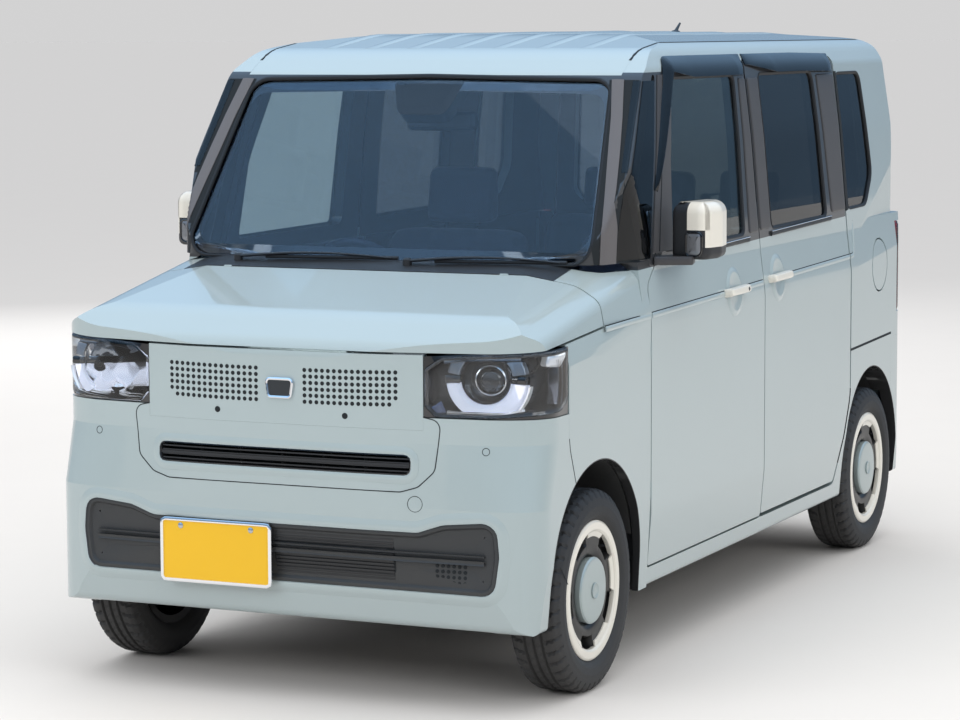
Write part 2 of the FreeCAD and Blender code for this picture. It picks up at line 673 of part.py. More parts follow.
grilles = [lump(louvres(UPPER_INTAKE, 3, 6)), lump(louvres(LOWER_INTAKE, 6, 10))]
solid_feature("grilles", Part.makeCompound(grilles))
PLATE_X = -198
plate_foot = 0.411 * bumper_top - 11
plate_top = plate_foot + 165
plate = prism([(PLATE_X - 165, plate_foot, 8), (PLATE_X + 165, plate_foot, 8),
               (PLATE_X + 165, plate_top, 8), (PLATE_X - 165, plate_top, 8)], "front", nose, nose + 6)
bracket = room(PLATE_X - 60, PLATE_X + 60, nose + 5, nose + 60, plate_foot + 47, plate_foot + 117)
bracket = bracket.cut(moved(lower_volume(10), y=-d.fit_gap))
solid_feature("front_plate", lump(plate.fuse(bracket)))

# Floor pan, bulkhead, front rails, wheel houses, tow eye and jacking pads, one welded structure
inner_half = half - d.side_wall - d.fit_gap
arch_top = d.tyre_radius + d.arch_rise + d.front_arch_radius
floor_step = rear_axle - 440
rail_y = nose + 70
HOUSE_WALL = 14
HOUSE_INNER = wheel_x - d.tyre_width / 2 - 34
shelf = d.belt_height - 490
floor = prism([(door_front - 20, d.floor_height, 0), (floor_step + d.floor_thickness, d.floor_height, 0),
               (floor_step + d.floor_thickness, d.rear_floor_height, 0), (tail - 90, d.rear_floor_height, 0),
               (tail - 90, d.rear_floor_height + d.floor_thickness, 0),
               (floor_step, d.rear_floor_height + d.floor_thickness, 0), (floor_step, floor_top, 0),
               (door_front - 20, floor_top, 0), (door_front - 20, shelf + 20, 0),
               (cowl + 100, shelf + 20, 0), (cowl + 100, d.belt_height - 60, 0),
               (cowl + 75, d.belt_height - 60, 0), (cowl + 75, shelf, 0),
               (door_front - 42, shelf, 0),
               (door_front - 42, d.floor_height, 0)], "side", -inner_half, inner_half)
floor = floor.cut(both(room(600, half, nose, door_front - 43, d.belt_height - 150, d.belt_height)))
floor = floor.cut(both(room(inner_half - 6, half, door_front - 20, door_split + 3, 0, d.height)))
for sign in (-1, 1):
    floor = floor.fuse(room(sign * 330 - 30, sign * 330 + 30, rail_y, door_front - 30, 300, 400))
    floor = floor.fuse(room(sign * 440 - 35, sign * 440 + 35, door_front - 42, floor_step,
                            d.sill_height, d.floor_height))
    side_rail = (610, inner_half - 6) if sign > 0 else (-inner_half + 6, -610)
    floor = floor.fuse(room(*side_rail, door_front - 20, floor_step, d.sill_height, d.floor_height))
    for pad_y in (door_front + 120, floor_step - 140):
        floor = floor.fuse(room(sign * 632 - 22, sign * 632 + 22, pad_y - d.jack_pad / 2,
                                pad_y + d.jack_pad / 2, d.sill_height - 8, d.sill_height))
house = wheel_tunnel(rear_axle, d.rear_arch_radius + HOUSE_WALL, HOUSE_INNER - HOUSE_WALL, inner_half)
house = house.cut(wheel_tunnel(rear_axle, d.rear_arch_radius, HOUSE_INNER, inner_half + 10))
house = house.cut(room(0, half, nose, tail, -50, d.floor_height + 60))
HOUSE_SEAT = HOUSE_WALL + d.fit_gap
seat_radius = d.rear_arch_radius + HOUSE_SEAT
floor = floor.cut(both(wheel_tunnel(rear_axle, seat_radius, HOUSE_INNER - HOUSE_SEAT, half)))
FRONT_HOUSE = 360
front_house = wheel_tunnel(front_axle, d.front_arch_radius + HOUSE_WALL, FRONT_HOUSE + d.fit_gap,
                           half - d.skin - 6)
front_house = front_house.cut(wheel_tunnel(front_axle, d.front_arch_radius, FRONT_HOUSE + 12, half))
front_house = front_house.cut(room(0, half, nose, tail, -50, 400 - HOUSE_WALL))
front_house = front_house.cut(room(0, half, door_front - 42 - d.fit_gap, tail, 0, 900))
front_house = front_house.cut(room(0, half, nose, lamp_back + 32, 0, 900))
floor = floor.cut(both(wheel_tunnel(front_axle, d.front_arch_radius + HOUSE_SEAT, FRONT_HOUSE + 10, half)))
for seam in (door_front - 20, floor_step - d.fit_gap):
    floor = floor.cut(room(-half, half, seam, seam + d.fit_gap, 0, floor_top + 1))
tow_x = 400
tow_y = rail_y + 60
tow_plate = room(350, tow_x + 32, tow_y - 32, tow_y + 32, 300, 300 + d.tow_thickness)
tow_plate = tow_plate.cut(Part.makeCylinder(d.tow_bore, 40, V(tow_x, tow_y, 290)))
floor = floor.fuse(tow_plate)
solid_feature("floor_pan", Part.makeCompound([lump(floor), both(lump(house)), both(lump(front_house))]))


# Wheels: each tyre and each rim is turned about its axle from a profile in a sketch

def measure(**terms):
    """A length as a sum of sheet sizes with factors, as a number and as an expression."""
    number = sum(factor * (getattr(d, alias) if alias != "mm" else 1) for alias, factor in terms.items())
    text = " + ".join(f"{factor} * dims.{alias}" if alias != "mm" else f"{factor}"
                      for alias, factor in terms.items())
    return number, text


def turned(label, profile):
    """A body revolved about its own X axis; the profile is (along, radius) in bound lengths."""
    body = doc.addObject("PartDesign::Body", label)
    sketch = body.newObject("Sketcher::SketchObject", label + "_profile")
    plane = [f for f in body.Origin.OriginFeatures if f.Role == "XY_Plane"][0]
    sketch.AttachmentSupport = [(plane, "")]
    sketch.MapMode = "FlatFace"
    points = [V(along[0], radius[0], 0) for along, radius in profile]
    count = len(points)
    for i in range(count):
        sketch.addGeometry(Part.LineSegment(points[i], points[(i + 1) % count]), False)
    for i in range(count):
        sketch.addConstraint(Sketcher.Constraint("Coincident", i, 2, (i + 1) % count, 1))
    for i, (along, radius) in enumerate(profile):
        for kind, (number, text) in (("DistanceX", along), ("DistanceY", radius)):
            if number == 0:
                sketch.addConstraint(Sketcher.Constraint("PointOnObject", i, 1, -1))
                continue
            place = sketch.addConstraint(Sketcher.Constraint(kind, -1, 1, i, 1, number))
            sketch.renameConstraint(place, f"{kind}{i}")
            sketch.setExpression(f"Constraints.{kind}{i}", text)
    spin = body.newObject("PartDesign::Revolution", label + "_turned")
    spin.Profile = sketch
    spin.ReferenceAxis = (sketch, ["H_Axis"])
    spin.Angle = 360
    body.Tip = spin
    return body


# Stations along the axle start 200 mm inside the wheel's middle plane, so that all are positive
STATION = 200
RIM_HALF = 54


def station(offset):
    return measure(mm=STATION + offset)


TYRE_PROFILE = [
    (station(-RIM_HALF + 0.6), measure(bead_radius=1, fit_gap=1)),
    (station(-RIM_HALF + 0.6), measure(bead_radius=1, mm=12)),
    (measure(mm=STATION - 4, tyre_width=-0.4), measure(bead_radius=1, mm=24)),
    (measure(mm=STATION, tyre_width=-0.5), measure(bead_radius=0.5, tyre_radius=0.5)),
    (measure(mm=STATION, tyre_width=-0.45), measure(tyre_radius=1, mm=-16)),
    (measure(mm=STATION, tyre_width=-0.36), measure(tyre_radius=1)),
    (measure(mm=STATION, tyre_width=0.36), measure(tyre_radius=1)),
    (measure(mm=STATION, tyre_width=0.45), measure(tyre_radius=1, mm=-16)),
    (measure(mm=STATION, tyre_width=0.5), measure(bead_radius=0.5, tyre_radius=0.5)),
    (measure(mm=STATION + 4, tyre_width=0.4), measure(bead_radius=1, mm=24)),
    (station(RIM_HALF - 0.6), measure(bead_radius=1, mm=12)),
    (station(RIM_HALF - 0.6), measure(bead_radius=1, fit_gap=1)),
]
RIM_PROFILE = [
    (station(-RIM_HALF - 8), measure(bead_radius=1, mm=10)),
    (station(-RIM_HALF), measure(bead_radius=1, mm=10)),
    (station(-RIM_HALF), measure(bead_radius=1)),
    (station(RIM_HALF), measure(bead_radius=1)),
    (station(RIM_HALF), measure(bead_radius=1, mm=10)),
    (station(RIM_HALF + 10), measure(bead_radius=1, mm=14)),
    (station(RIM_HALF + 10), measure(bead_radius=1, mm=-12)),
    (station(RIM_HALF), measure(bead_radius=1, mm=-28)),
    (station(RIM_HALF), measure(mm=78)),
    (station(RIM_HALF + 12), measure(mm=62)),
    (station(RIM_HALF + 12), measure(mm=0)),
    (station(RIM_HALF), measure(mm=0)),
    (station(RIM_HALF), measure(spindle_radius=1, fit_gap=1)),
    (station(0), measure(spindle_radius=1, fit_gap=1)),
    (station(0), measure(spindle_radius=1, mm=24)),
    (station(RIM_HALF - 12), measure(mm=70)),
    (station(RIM_HALF - 12), measure(bead_radius=1, mm=-30)),
    (station(RIM_HALF - 24), measure(bead_radius=1, mm=-12)),
    (station(-RIM_HALF - 8), measure(bead_radius=1, mm=-12)),
]
WHEELS = [("fl", 1, FRONT_AXLE), ("fr", -1, FRONT_AXLE), ("rl", 1, REAR_AXLE), ("rr", -1, REAR_AXLE)]
for corner, sign, axle in WHEELS:
    for kind, profile in (("tyre", TYRE_PROFILE), ("rim", RIM_PROFILE)):
        wheel = turned(f"{kind}_{corner}", profile)
        wheel.Placement = FreeCAD.Placement(V(0, 0, 0), FreeCAD.Rotation(V(0, 0, 1), 0 if sign > 0 else 180))
        bind(wheel, Placement__Base__x=f"{sign} * (track / 2 - {STATION})", Placement__Base__y=axle,
             Placement__Base__z="tyre_radius")

# Knuckles: an upright along the steering axis, the spindle and a brake shield
foot = V(d.steer_foot, front_axle, d.ball_joint_height)
head = V(d.steer_head, front_axle, arch_top)
lean = (head - foot).normalize()


def on_axis(level):
    return foot + lean * ((level - foot.z) / lean.z)


def upright(low, high, radius):
    start = on_axis(low)
    return Part.makeCylinder(radius, (on_axis(high) - start).Length, start, lean)


knuckle = upright(182, 466, 17)
knuckle = knuckle.fuse(Part.makeCylinder(44, 66, V(560, front_axle, d.tyre_radius), V(1, 0, 0)))
SPINDLE_END = 48
knuckle = knuckle.fuse(Part.makeCylinder(d.spindle_radius, wheel_x + SPINDLE_END - 600,
                                         V(600, front_axle, d.tyre_radius), V(1, 0, 0)))
knuckle = knuckle.fuse(Part.makeCylinder(122, 6, V(608, front_axle, d.tyre_radius), V(1, 0, 0)))
solid_feature("knuckle_left", lump(knuckle))
solid_feature("knuckle_right", lump(knuckle.mirror(V(0, 0, 0), V(1, 0, 0))))

# Front suspension: subframe with the lower arms, and the two struts
subframe = room(-380, 380, front_axle - 60, front_axle + 90, 190, 300 - d.fit_gap)
subframe = subframe.fuse(room(-270, 270, front_axle + 89, door_front - 60, 190, 240))
for sign in (-1, 1):
    arm = prism([(380, front_axle - 40, 0), (560, front_axle - 20, 0), (602, front_axle - 20, 15),
                 (602, front_axle + 20, 15), (560, front_axle + 20, 0), (380, front_axle + 80, 0)],
                "plan", 150, d.ball_joint_height)
    arm = arm.fuse(room(330, 400, front_axle - 40, front_axle + 70, 150, 200))
    arm = arm.fuse(upright(d.ball_joint_height - 10, 182 - d.fit_gap, 12))
    subframe = subframe.fuse(arm if sign > 0 else arm.mirror(V(0, 0, 0), V(1, 0, 0)))
strut = upright(466 + d.fit_gap, arch_top, d.strut_radius)
strut = strut.fuse(Part.makeCylinder(46, 30, V(d.steer_head, front_axle, arch_top - 14), V(0, 0, 1)))
strut = strut.common(wheel_tunnel(front_axle, d.front_arch_radius - d.fit_gap, 0, half))
subframe = lump(subframe)
solid_feature("front_suspension", Part.makeCompound([subframe, both(lump(strut))]))

# Rear axle: torsion beam, trailing arms, spindles, spring seats
axle_parts = []
beam = room(-505, 505, rear_axle - 200, rear_axle - 120, 236, 296)
for sign in (-1, 1):
    arm = room(462, 512, floor_step + d.floor_thickness + d.fit_gap, rear_axle + 50, 232, 300)
    arm = arm.fuse(Part.makeCylinder(d.spindle_radius, wheel_x + SPINDLE_END - 500,
                                     V(500, rear_axle, d.tyre_radius), V(1, 0, 0)))
    arm = arm.fuse(Part.makeCylinder(70, 50, V(555, rear_axle, d.tyre_radius), V(1, 0, 0)))
    arm = arm.fuse(Part.makeCylinder(30, 50, V(505, rear_axle, d.tyre_radius), V(1, 0, 0)))
    arm = arm.fuse(Part.makeCylinder(45, d.rear_floor_height - d.fit_gap - 290, V(455, rear_axle - 60, 290)))
    beam = beam.fuse(arm if sign > 0 else arm.mirror(V(0, 0, 0), V(1, 0, 0)))
solid_feature("rear_axle", lump(beam))

# Engine block, fuel tank and exhaust below the floor
engine = box("engine_body", "-270", f"{FRONT_AXLE} - 250", "310", "540", "330", "500")
mount = box("engine_mount", "-300 + fit_gap", f"{FRONT_AXLE} - 120", "340", "600 - 2 * fit_gap", "60", "40")
join("engine_block", engine, mount).Label = "engine_block"
tank = box("fuel_tank", "20", f"{FRONT_AXLE} + 1000", "floor_height - fit_gap - 85", "370", "560", "85")
muffler = Part.makeCylinder(85, 420, V(-250, rear_axle + 240, 300), V(1, 0, 0))
pipe_start = front_axle + 420
pipe_run = Part.makeCylinder(20, rear_axle + 240 - pipe_start, V(-70, pipe_start, 206), V(0, 1, 0))
tail_pipe = Part.makeCylinder(18, 190, V(120, rear_axle + 200, 203), V(0, 1, 0))
tail_pipe = tail_pipe.fuse(Part.makeCylinder(18, 60, V(120, rear_axle + 240, 203), V(0, 0, 1)))
link = Part.makeCylinder(20, 60, V(-70, rear_axle + 236, 206), V(0, 0, 1))
hanger = Part.makeCylinder(7, d.rear_floor_height - d.fit_gap - 300, V(0, rear_axle + 240, 300))
hangers = [moved(hanger, x=x) for x in (-180, 100)]
exhaust = muffler.fuse([pipe_run, tail_pipe, link] + hangers)
solid_feature("exhaust", lump(exhaust))

# Dashboard, steering wheel on its column, seats
DASH_SIDE = [(cowl + 100 + d.fit_gap, 430, 0), (door_front - 60, 460, 40), (door_front + 130, 450, 40),
             (door_front + 200, 290, 60), (door_front + 190, 140, 60), (door_front + 80, 70, 80),
             (cowl + 100 + d.fit_gap, 66, 0)]
dash_half = inner_half - 14
dash = prism([(u, d.belt_height - drop, r) for u, drop, r in DASH_SIDE], "side", -dash_half, dash_half)
wheel_middle = V(-d.driver_offset, door_front + 350, d.belt_height - 140)
column = V(0, math.cos(math.radians(28)), math.sin(math.radians(28)))
dash = dash.cut(Part.makeCylinder(28 + d.fit_gap, 120, wheel_middle - column * 260, column))
solid_feature("dashboard", lump(dash))
grip_radius = d.steering_wheel_radius - d.steering_wheel_grip
ring = Part.makeTorus(grip_radius, d.steering_wheel_grip)
spokes = [Part.makeBox(2 * grip_radius, 26, 10, V(-grip_radius, -13, -12)),
          Part.makeBox(30, grip_radius, 10, V(-15, -grip_radius, -12))]
hub = Part.makeCylinder(52, 40, V(0, 0, -34))
stalk = Part.makeCylinder(28, 200, V(0, 0, -230))
steering_wheel = solid_feature("steering_wheel", lump(ring.fuse(spokes + [hub, stalk])))
steering_wheel.Placement = FreeCAD.Placement(wheel_middle, FreeCAD.Rotation(V(0, 0, 1), column))

FRONT_SEAT = [(-460, 400, 20), (60, 380, 20), (250, 1130, 40), (190, 1160, 40),
              (110, 1120, 60), (-20, 600, 60), (-380, 625, 60), (-470, 560, 50)]
FRONT_REST = [(165, 1165, 20), (255, 1165, 20), (262, 1350, 40), (195, 1355, 40)]
seat_y = door_split - 110
seat = prism([(seat_y + u, v, r) for u, v, r in FRONT_SEAT], "side", d.driver_offset - d.seat_width / 2,
             d.driver_offset + d.seat_width / 2)
seat = seat.fuse(room(d.driver_offset - 200, d.driver_offset + 200, seat_y - 380, seat_y + 40,
                      floor_top + d.fit_gap, 420))
head_rest = prism([(seat_y + u, v, r) for u, v, r in FRONT_REST], "side", d.driver_offset - 125,
                  d.driver_offset + 125)
seat = seat.fuse(head_rest)
seat = seat.fuse(room(d.driver_offset - 60, d.driver_offset + 60, seat_y + 200, seat_y + 225, 1100, 1200))
load_floor = d.rear_floor_height + d.floor_thickness + d.fit_gap
REAR_SEAT = [(-200, d.rear_floor_height + 100, 20), (380, d.rear_floor_height + 90, 20), (500, 1110, 40),
             (440, 1140, 40), (370, 1100, 60), (270, 680, 60), (-130, 700, 60), (-210, 640, 40)]
REAR_REST = [(425, 1150, 20), (500, 1150, 20), (505, 1300, 40), (450, 1305, 40)]
bench_y = floor_step + 40
bench = prism([(bench_y + u, v, r) for u, v, r in REAR_SEAT], "side", 12, 500)
bench = bench.fuse(room(60, 460, bench_y + 20, bench_y + 300, load_floor, d.rear_floor_height + 110))
rest = prism([(bench_y + u, v, r) for u, v, r in REAR_REST], "side", 140, 372)
bench = bench.fuse(rest).fuse(room(200, 312, bench_y + 455, bench_y + 480, 1080, 1170))
solid_feature("seats", Part.makeCompound([both(lump(seat)), both(lump(bench))]))

# Door mirrors, folded back along the doors, and wipers
MIRROR_PLAN = [(half + 10, door_front + 124, 12), (half + 122, door_front + 110, 35),
               (half + 138, door_front + 195, 60), (half + 118, door_front + 300, 40),
               (half + 40, door_front + 298, 20)]
MIRROR_FRONT = [(half + 8, -2, 12), (half + 136, -2, 25), (half + 141, 158, 45), (half + 8, 162, 30)]
ARM_PLAN = [(half - 32, door_front + 56, 0), (half + 85, door_front + 104, 12),
            (half + 60, door_front + 190, 0), (half - 32, door_front + 150, 0)]
mirror = prism(MIRROR_PLAN, "plan", d.belt_height - 20, d.belt_height + 180)
mirror_face = [(u, d.belt_height + v, r) for u, v, r in MIRROR_FRONT]
mirror = mirror.common(prism(mirror_face, "front", door_front, door_front + 400))
arm = prism(ARM_PLAN, "plan", d.belt_height - 16, d.belt_height + 8)
mirror = mirror.fuse(arm)
mirror = mirror.cut(moved(upper_out, x=d.fit_gap)).cut(moved(lower_out, x=d.fit_gap))
solid_feature("mirror_left", lump(mirror))
solid_feature("mirror_right", lump(mirror.mirror(V(0, 0, 0), V(1, 0, 0))))
WIPERS = [(-430, 150), (60, 560)]
arms = []
for inner, outer in WIPERS:
    blade = room(inner, outer, cowl + 62, cowl + 74, d.belt_height + 2, d.belt_height + 16)
    post = Part.makeCylinder(9, 22, V(inner + 30, cowl + 68, d.belt_height - 18))
    arms.append(blade.fuse(post).cut(cowl_top).cut(upper_out))
solid_feature("wipers", Part.makeCompound([lump(a) for a in arms]))

NODES = [
    "floor_pan", "body_side_left", "body_side_right", "roof_panel", "windscreen", "side_glass",
    "front_fenders", "headlamps", "grille_panel", "grilles", "front_bumper", "front_plate", "cowl_panel",
    "wipers", "dashboard",
    "seats", "slide_doors", "tail_lamps", "rear_bumper", "engine_block", "fuel_tank",
    "exhaust", "front_suspension", "rear_axle", "front_door_left", "front_door_right", "door_glass_left",
    "door_glass_right", "mirror_left", "mirror_right", "bonnet", "tailgate", "tailgate_glass", "fuel_lid",
    "steering_wheel", "knuckle_left", "knuckle_right", "tyre_fl", "tyre_fr", "tyre_rl", "tyre_rr",
    "rim_fl", "rim_fr", "rim_rl", "rim_rr",
]
doc.recompute()
for made in doc.Objects:
    if {"Invalid", "Error"} & set(made.State):
        raise RuntimeError(f"{made.Label} did not recompute: {made.State}")
os.makedirs("parts", exist_ok=True)
for name in NODES:
    shape = doc.getObjectsByLabel(name)[0].Shape
    if shape.isNull() or not shape.isValid():
        raise RuntimeError(f"{name} has no valid shape")
    shape.exportStep(f"parts/{name}.step")
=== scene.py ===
"""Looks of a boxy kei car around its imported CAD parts. Metres; front towards -Y, left side +X, up +Z."""
import json
import math

import bpy
import numpy as np
from mathutils import Matrix, Vector

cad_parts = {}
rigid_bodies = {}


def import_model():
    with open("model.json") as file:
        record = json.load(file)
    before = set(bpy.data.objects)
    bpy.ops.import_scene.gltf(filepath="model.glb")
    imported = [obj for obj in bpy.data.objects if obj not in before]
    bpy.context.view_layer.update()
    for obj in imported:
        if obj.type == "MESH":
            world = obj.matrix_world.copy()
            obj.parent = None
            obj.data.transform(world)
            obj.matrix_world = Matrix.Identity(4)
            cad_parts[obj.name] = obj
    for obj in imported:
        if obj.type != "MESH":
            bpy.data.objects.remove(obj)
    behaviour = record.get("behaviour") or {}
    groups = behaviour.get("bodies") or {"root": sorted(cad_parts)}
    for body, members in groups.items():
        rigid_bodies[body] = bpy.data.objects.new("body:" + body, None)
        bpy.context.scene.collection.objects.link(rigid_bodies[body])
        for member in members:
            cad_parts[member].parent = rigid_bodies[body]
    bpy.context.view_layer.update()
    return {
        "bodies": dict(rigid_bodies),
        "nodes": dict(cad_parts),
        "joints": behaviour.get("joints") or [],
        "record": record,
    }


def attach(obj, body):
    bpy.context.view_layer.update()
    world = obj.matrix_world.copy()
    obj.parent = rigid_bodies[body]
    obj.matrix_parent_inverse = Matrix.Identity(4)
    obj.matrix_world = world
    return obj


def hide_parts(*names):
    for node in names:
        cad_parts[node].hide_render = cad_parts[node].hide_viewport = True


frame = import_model()
nodes = frame["nodes"]

# Places of the body, the same as in the part's source
HALF, NOSE, TAIL = 0.7375, -1.6975, 1.6975
FRONT_AXLE, REAR_AXLE = -1.2375, 1.2825
DOOR_FRONT, DOOR_SPLIT, SLIDE_REAR = -0.8455, 0.1325, 1.0305
COWL, FOOT, HEAD = -1.1855, -1.0925, -0.7375
TOP, BELT, WINDOW_TOP = 1.790, 1.150, 1.660
WHEEL_X, TYRE_RADIUS = 0.6525, 0.2785
ARCH_Z = TYRE_RADIUS + 0.040
SWELL_LOW, SWELL_HIGH = 0.550, 0.720
WHEELS = (("fl", 1, FRONT_AXLE), ("fr", -1, FRONT_AXLE), ("rl", 1, REAR_AXLE), ("rr", -1, REAR_AXLE))


# ---------------------------------------------------------------- shapes

def unit(vectors):
    """Vectors at a length of 1."""
    return vectors / np.maximum(np.linalg.norm(vectors, axis=-1, keepdims=True), 1e-12)


def full_turn(count):
    """Evenly spaced angles round a circle."""
    return np.linspace(0, 2 * math.pi, count, endpoint=False)


def rounded(corners, per=7, closed=False):
    """Straight runs joined by tangent arcs. The arc at corner (u, v, radius) starts radius / tan(angle / 2)
    before the corner, at most 0.49 of either run away; its points turn evenly about the arc's centre."""
    points = np.array([c[:2] for c in corners], float)
    radius = np.array([c[2] for c in corners], float)
    if not closed:
        radius[[0, -1]] = 0
    back = np.roll(points, 1, 0) - points
    ahead = np.roll(points, -1, 0) - points
    back_length = np.linalg.norm(back, axis=1)
    ahead_length = np.linalg.norm(ahead, axis=1)
    back /= back_length[:, None]
    ahead /= ahead_length[:, None]
    angle = np.arccos(np.clip((back * ahead).sum(1), -0.9999999, 0.9999999))
    reach = np.minimum(radius / np.tan(angle / 2), 0.49 * np.minimum(back_length, ahead_length))
    size = reach * np.tan(angle / 2)
    middle = back + ahead
    middle /= np.maximum(np.linalg.norm(middle, axis=1), 1e-9)[:, None]
    centre = points + middle * (size / np.sin(angle / 2))[:, None]
    first = points + back * reach[:, None] - centre
    last = points + ahead * reach[:, None] - centre
    turn = np.maximum(math.pi - angle, 1e-6)
    t = np.linspace(0, 1, per)[None, :, None]
    swing = turn[:, None, None]
    arcs = (np.sin((1 - t) * swing) * first[:, None] + np.sin(t * swing) * last[:, None]) / np.sin(swing)
    return (centre[:, None] + arcs).reshape(-1, 2)


def evenly(points, count, closed=True):
    """The same line as count points at equal distances along it."""
    line = np.vstack([points, points[:1]]) if closed else np.asarray(points, float)
    along = np.concatenate([[0], np.cumsum(np.linalg.norm(np.diff(line, axis=0), axis=1))])
    stops = np.linspace(0, along[-1], count + 1)[:-1] if closed else np.linspace(0, along[-1], count)
    return np.stack([np.interp(stops, along, line[:, k]) for k in range(line.shape[1])], 1)


def outline(corners, count=128, per=7):
    """A closed, evenly spaced outline with rounded corners."""
    return evenly(rounded(corners, per, closed=True), count)


def inset(points, amount):
    """A closed outline moved along its own normals towards its inside."""
    tangent = unit(np.roll(points, -1, 0) - np.roll(points, 1, 0))
    area = 0.5 * np.sum(points[:, 0] * np.roll(points[:, 1], -1) - points[:, 1] * np.roll(points[:, 0], -1))
    inward = np.stack([-tangent[:, 1], tangent[:, 0]], 1) * np.sign(area)
    return points + inward * amount


def quads(rows, cols, wrap_rows=False, wrap_cols=False, start=0):
    """Faces of a grid of rows by cols vertices."""
    r = np.arange(rows if wrap_rows else rows - 1)[:, None]
    c = np.arange(cols if wrap_cols else cols - 1)[None, :]
    next_row, next_col = (r + 1) % rows, (c + 1) % cols
    faces = np.stack([r * cols + c, r * cols + next_col, next_row * cols + next_col, next_row * cols + c], -1)
    return (faces.reshape(-1, 4) + start).tolist()


def outward(verts, faces):
    """Faces turned round if the shell's signed volume, the sum of its fans' volumes, is negative."""
    volume = 0.0
    for size in {len(f) for f in faces}:
        corner = verts[np.array([f for f in faces if len(f) == size])]
        for k in range(1, size - 1):
            volume += np.einsum("ij,ij->", corner[:, 0], np.cross(corner[:, k], corner[:, k + 1]))
    return faces if volume > 0 else [f[::-1] for f in faces]


def shell(rings):
    """A closed shell from rings of shape (rings, points, 3): quads between rings, a cap at both ends."""
    rings = np.asarray(rings, float)
    count, around = rings.shape[:2]
    verts = rings.reshape(-1, 3)
    faces = quads(count, around, wrap_cols=True)
    faces.append(list(range(around))[::-1])
    faces.append(list(range((count - 1) * around, count * around)))
    return verts, outward(verts, faces)


def ring_shell(rings):
    """A closed shell whose last ring joins its first, such as a frame or a torus."""
    rings = np.asarray(rings, float)
    verts = rings.reshape(-1, 3)
    return verts, outward(verts, quads(*rings.shape[:2], wrap_rows=True, wrap_cols=True))


def slab(outer, inner):
    """A closed slab between two grids of the same shape (rows, cols, 3)."""
    rows, cols = outer.shape[:2]
    verts = np.vstack([outer.reshape(-1, 3), inner.reshape(-1, 3)])
    faces = quads(rows, cols) + [f[::-1] for f in quads(rows, cols, start=rows * cols)]
    index = np.arange(rows * cols).reshape(rows, cols)
    border = np.concatenate([index[0, :-1], index[:-1, -1], index[-1, :0:-1], index[:0:-1, 0]])
    after = np.roll(border, -1)
    far = rows * cols
    faces += np.stack([after, border, border + far, after + far], 1).tolist()
    return verts, outward(verts, faces)


def lathe(profile, centre, axis=(1, 0, 0), around=64, up=(0, 0, 1), wave=None):
    """Profile rows (along, radius) turned about an axis; wave(angle, along, radius) may change both.
    Point = centre + along * axis + radius * (cos angle * up + sin angle * across)."""
    axis = unit(np.array(axis, float))
    up = np.array((1, 0, 0) if abs(axis[2]) > .9 else up, float)
    up = unit(up - np.dot(up, axis) * axis)
    across = np.cross(axis, up)
    profile = np.asarray(profile, float)
    angle = full_turn(around)[None, :]
    along = np.repeat(profile[:, :1], around, 1)
    radius = np.repeat(profile[:, 1:], around, 1)
    if wave is not None:
        along, radius = wave(np.repeat(angle, len(profile), 0), along, radius)
    round_way = np.cos(angle)[..., None] * up + np.sin(angle)[..., None] * across
    return np.asarray(centre, float) + along[..., None] * axis + radius[..., None] * round_way


# Radius at which a turned shell closes on its own axis, and the smallest hole through one
TIP, SMALLEST_HOLE = .0005, .012


def turned(profile, centre, axis=(1, 0, 0), around=64, **more):
    """A closed turned shell; a profile that starts and ends at a hole's wall joins up."""
    rings = lathe(profile, centre, axis, around, **more)
    closed = min(profile[0][1], profile[-1][1]) > SMALLEST_HOLE
    return ring_shell(rings) if closed else shell(rings)


def tube(path, radius, around=12, squash=1.0, ref=(0, 0, 1)):
    """A round bar along a path: at each point a circle of the radius square to the path's direction."""
    path = np.asarray(path, float)
    direction = unit(np.gradient(path, axis=0))
    side = unit(np.cross(direction, ref))
    rise = np.cross(side, direction)
    angle = full_turn(around)[None, :, None]
    radius = np.broadcast_to(np.asarray(radius, float), (len(path),))[:, None, None]
    return shell(path[:, None] + radius * (np.cos(angle) * side[:, None] + squash * np.sin(angle) * rise[:, None]))


def panel(corners, radius, count=96):
    """An outline whose corners are all rounded alike."""
    return outline([(u, v, radius) for u, v in corners], count)


def box(u0, v0, u1, v1, radius, count=96):
    return panel([(u0, v0), (u1, v0), (u1, v1), (u0, v1)], radius, count)


def circle(u, v, radius, count, tall=None):
    """A circle's outline, or an ellipse's where its half height is given."""
    angle = full_turn(count)
    return np.stack([u + radius * np.cos(angle), v + (tall or radius) * np.sin(angle)], 1)


def of(material, *shapes):
    """Parts for a piece: each shape (verts, faces) with its material."""
    return [(material, shape) for shape in shapes]


def flip(part):
    """The part mirrored to the other side of the car."""
    material, (verts, faces) = part
    return material, (verts * (-1, 1, 1), [f[::-1] for f in faces])


def both(parts):
    """The parts and their mirror images."""
    return list(parts) + [flip(p) for p in parts]


def piece(name, parts, body, slot, replaces=(), smooth=35):
    """One object from closed parts, smooth but for edges sharper than the angle in degrees."""
    materials = list(dict.fromkeys(material for material, _ in parts))
    verts, faces, indices, start = [], [], [], 0
    for material, (points, polygons) in parts:
        verts.append(points)
        if len({len(q) for q in polygons}) == 1:
            faces += (np.array(polygons) + start).tolist()
        else:
            faces += [[k + start for k in q] for q in polygons]
        indices += [materials.index(material)] * len(polygons)
        start += len(points)
    mesh = bpy.data.meshes.new(name)
    mesh.from_pydata(np.vstack(verts).tolist(), [], faces)
    for material in materials:
        mesh.materials.append(material)
    mesh.polygons.foreach_set("material_index", indices)
    mesh.shade_smooth()
    mesh.set_sharp_from_angle(angle=math.radians(smooth))
    made = bpy.data.objects.new(name, mesh)
    bpy.context.scene.collection.objects.link(made)
    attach(made, body)
    if replaces:
        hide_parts(*replaces)
    return made


# ---------------------------------------------------------------- the body's surfaces

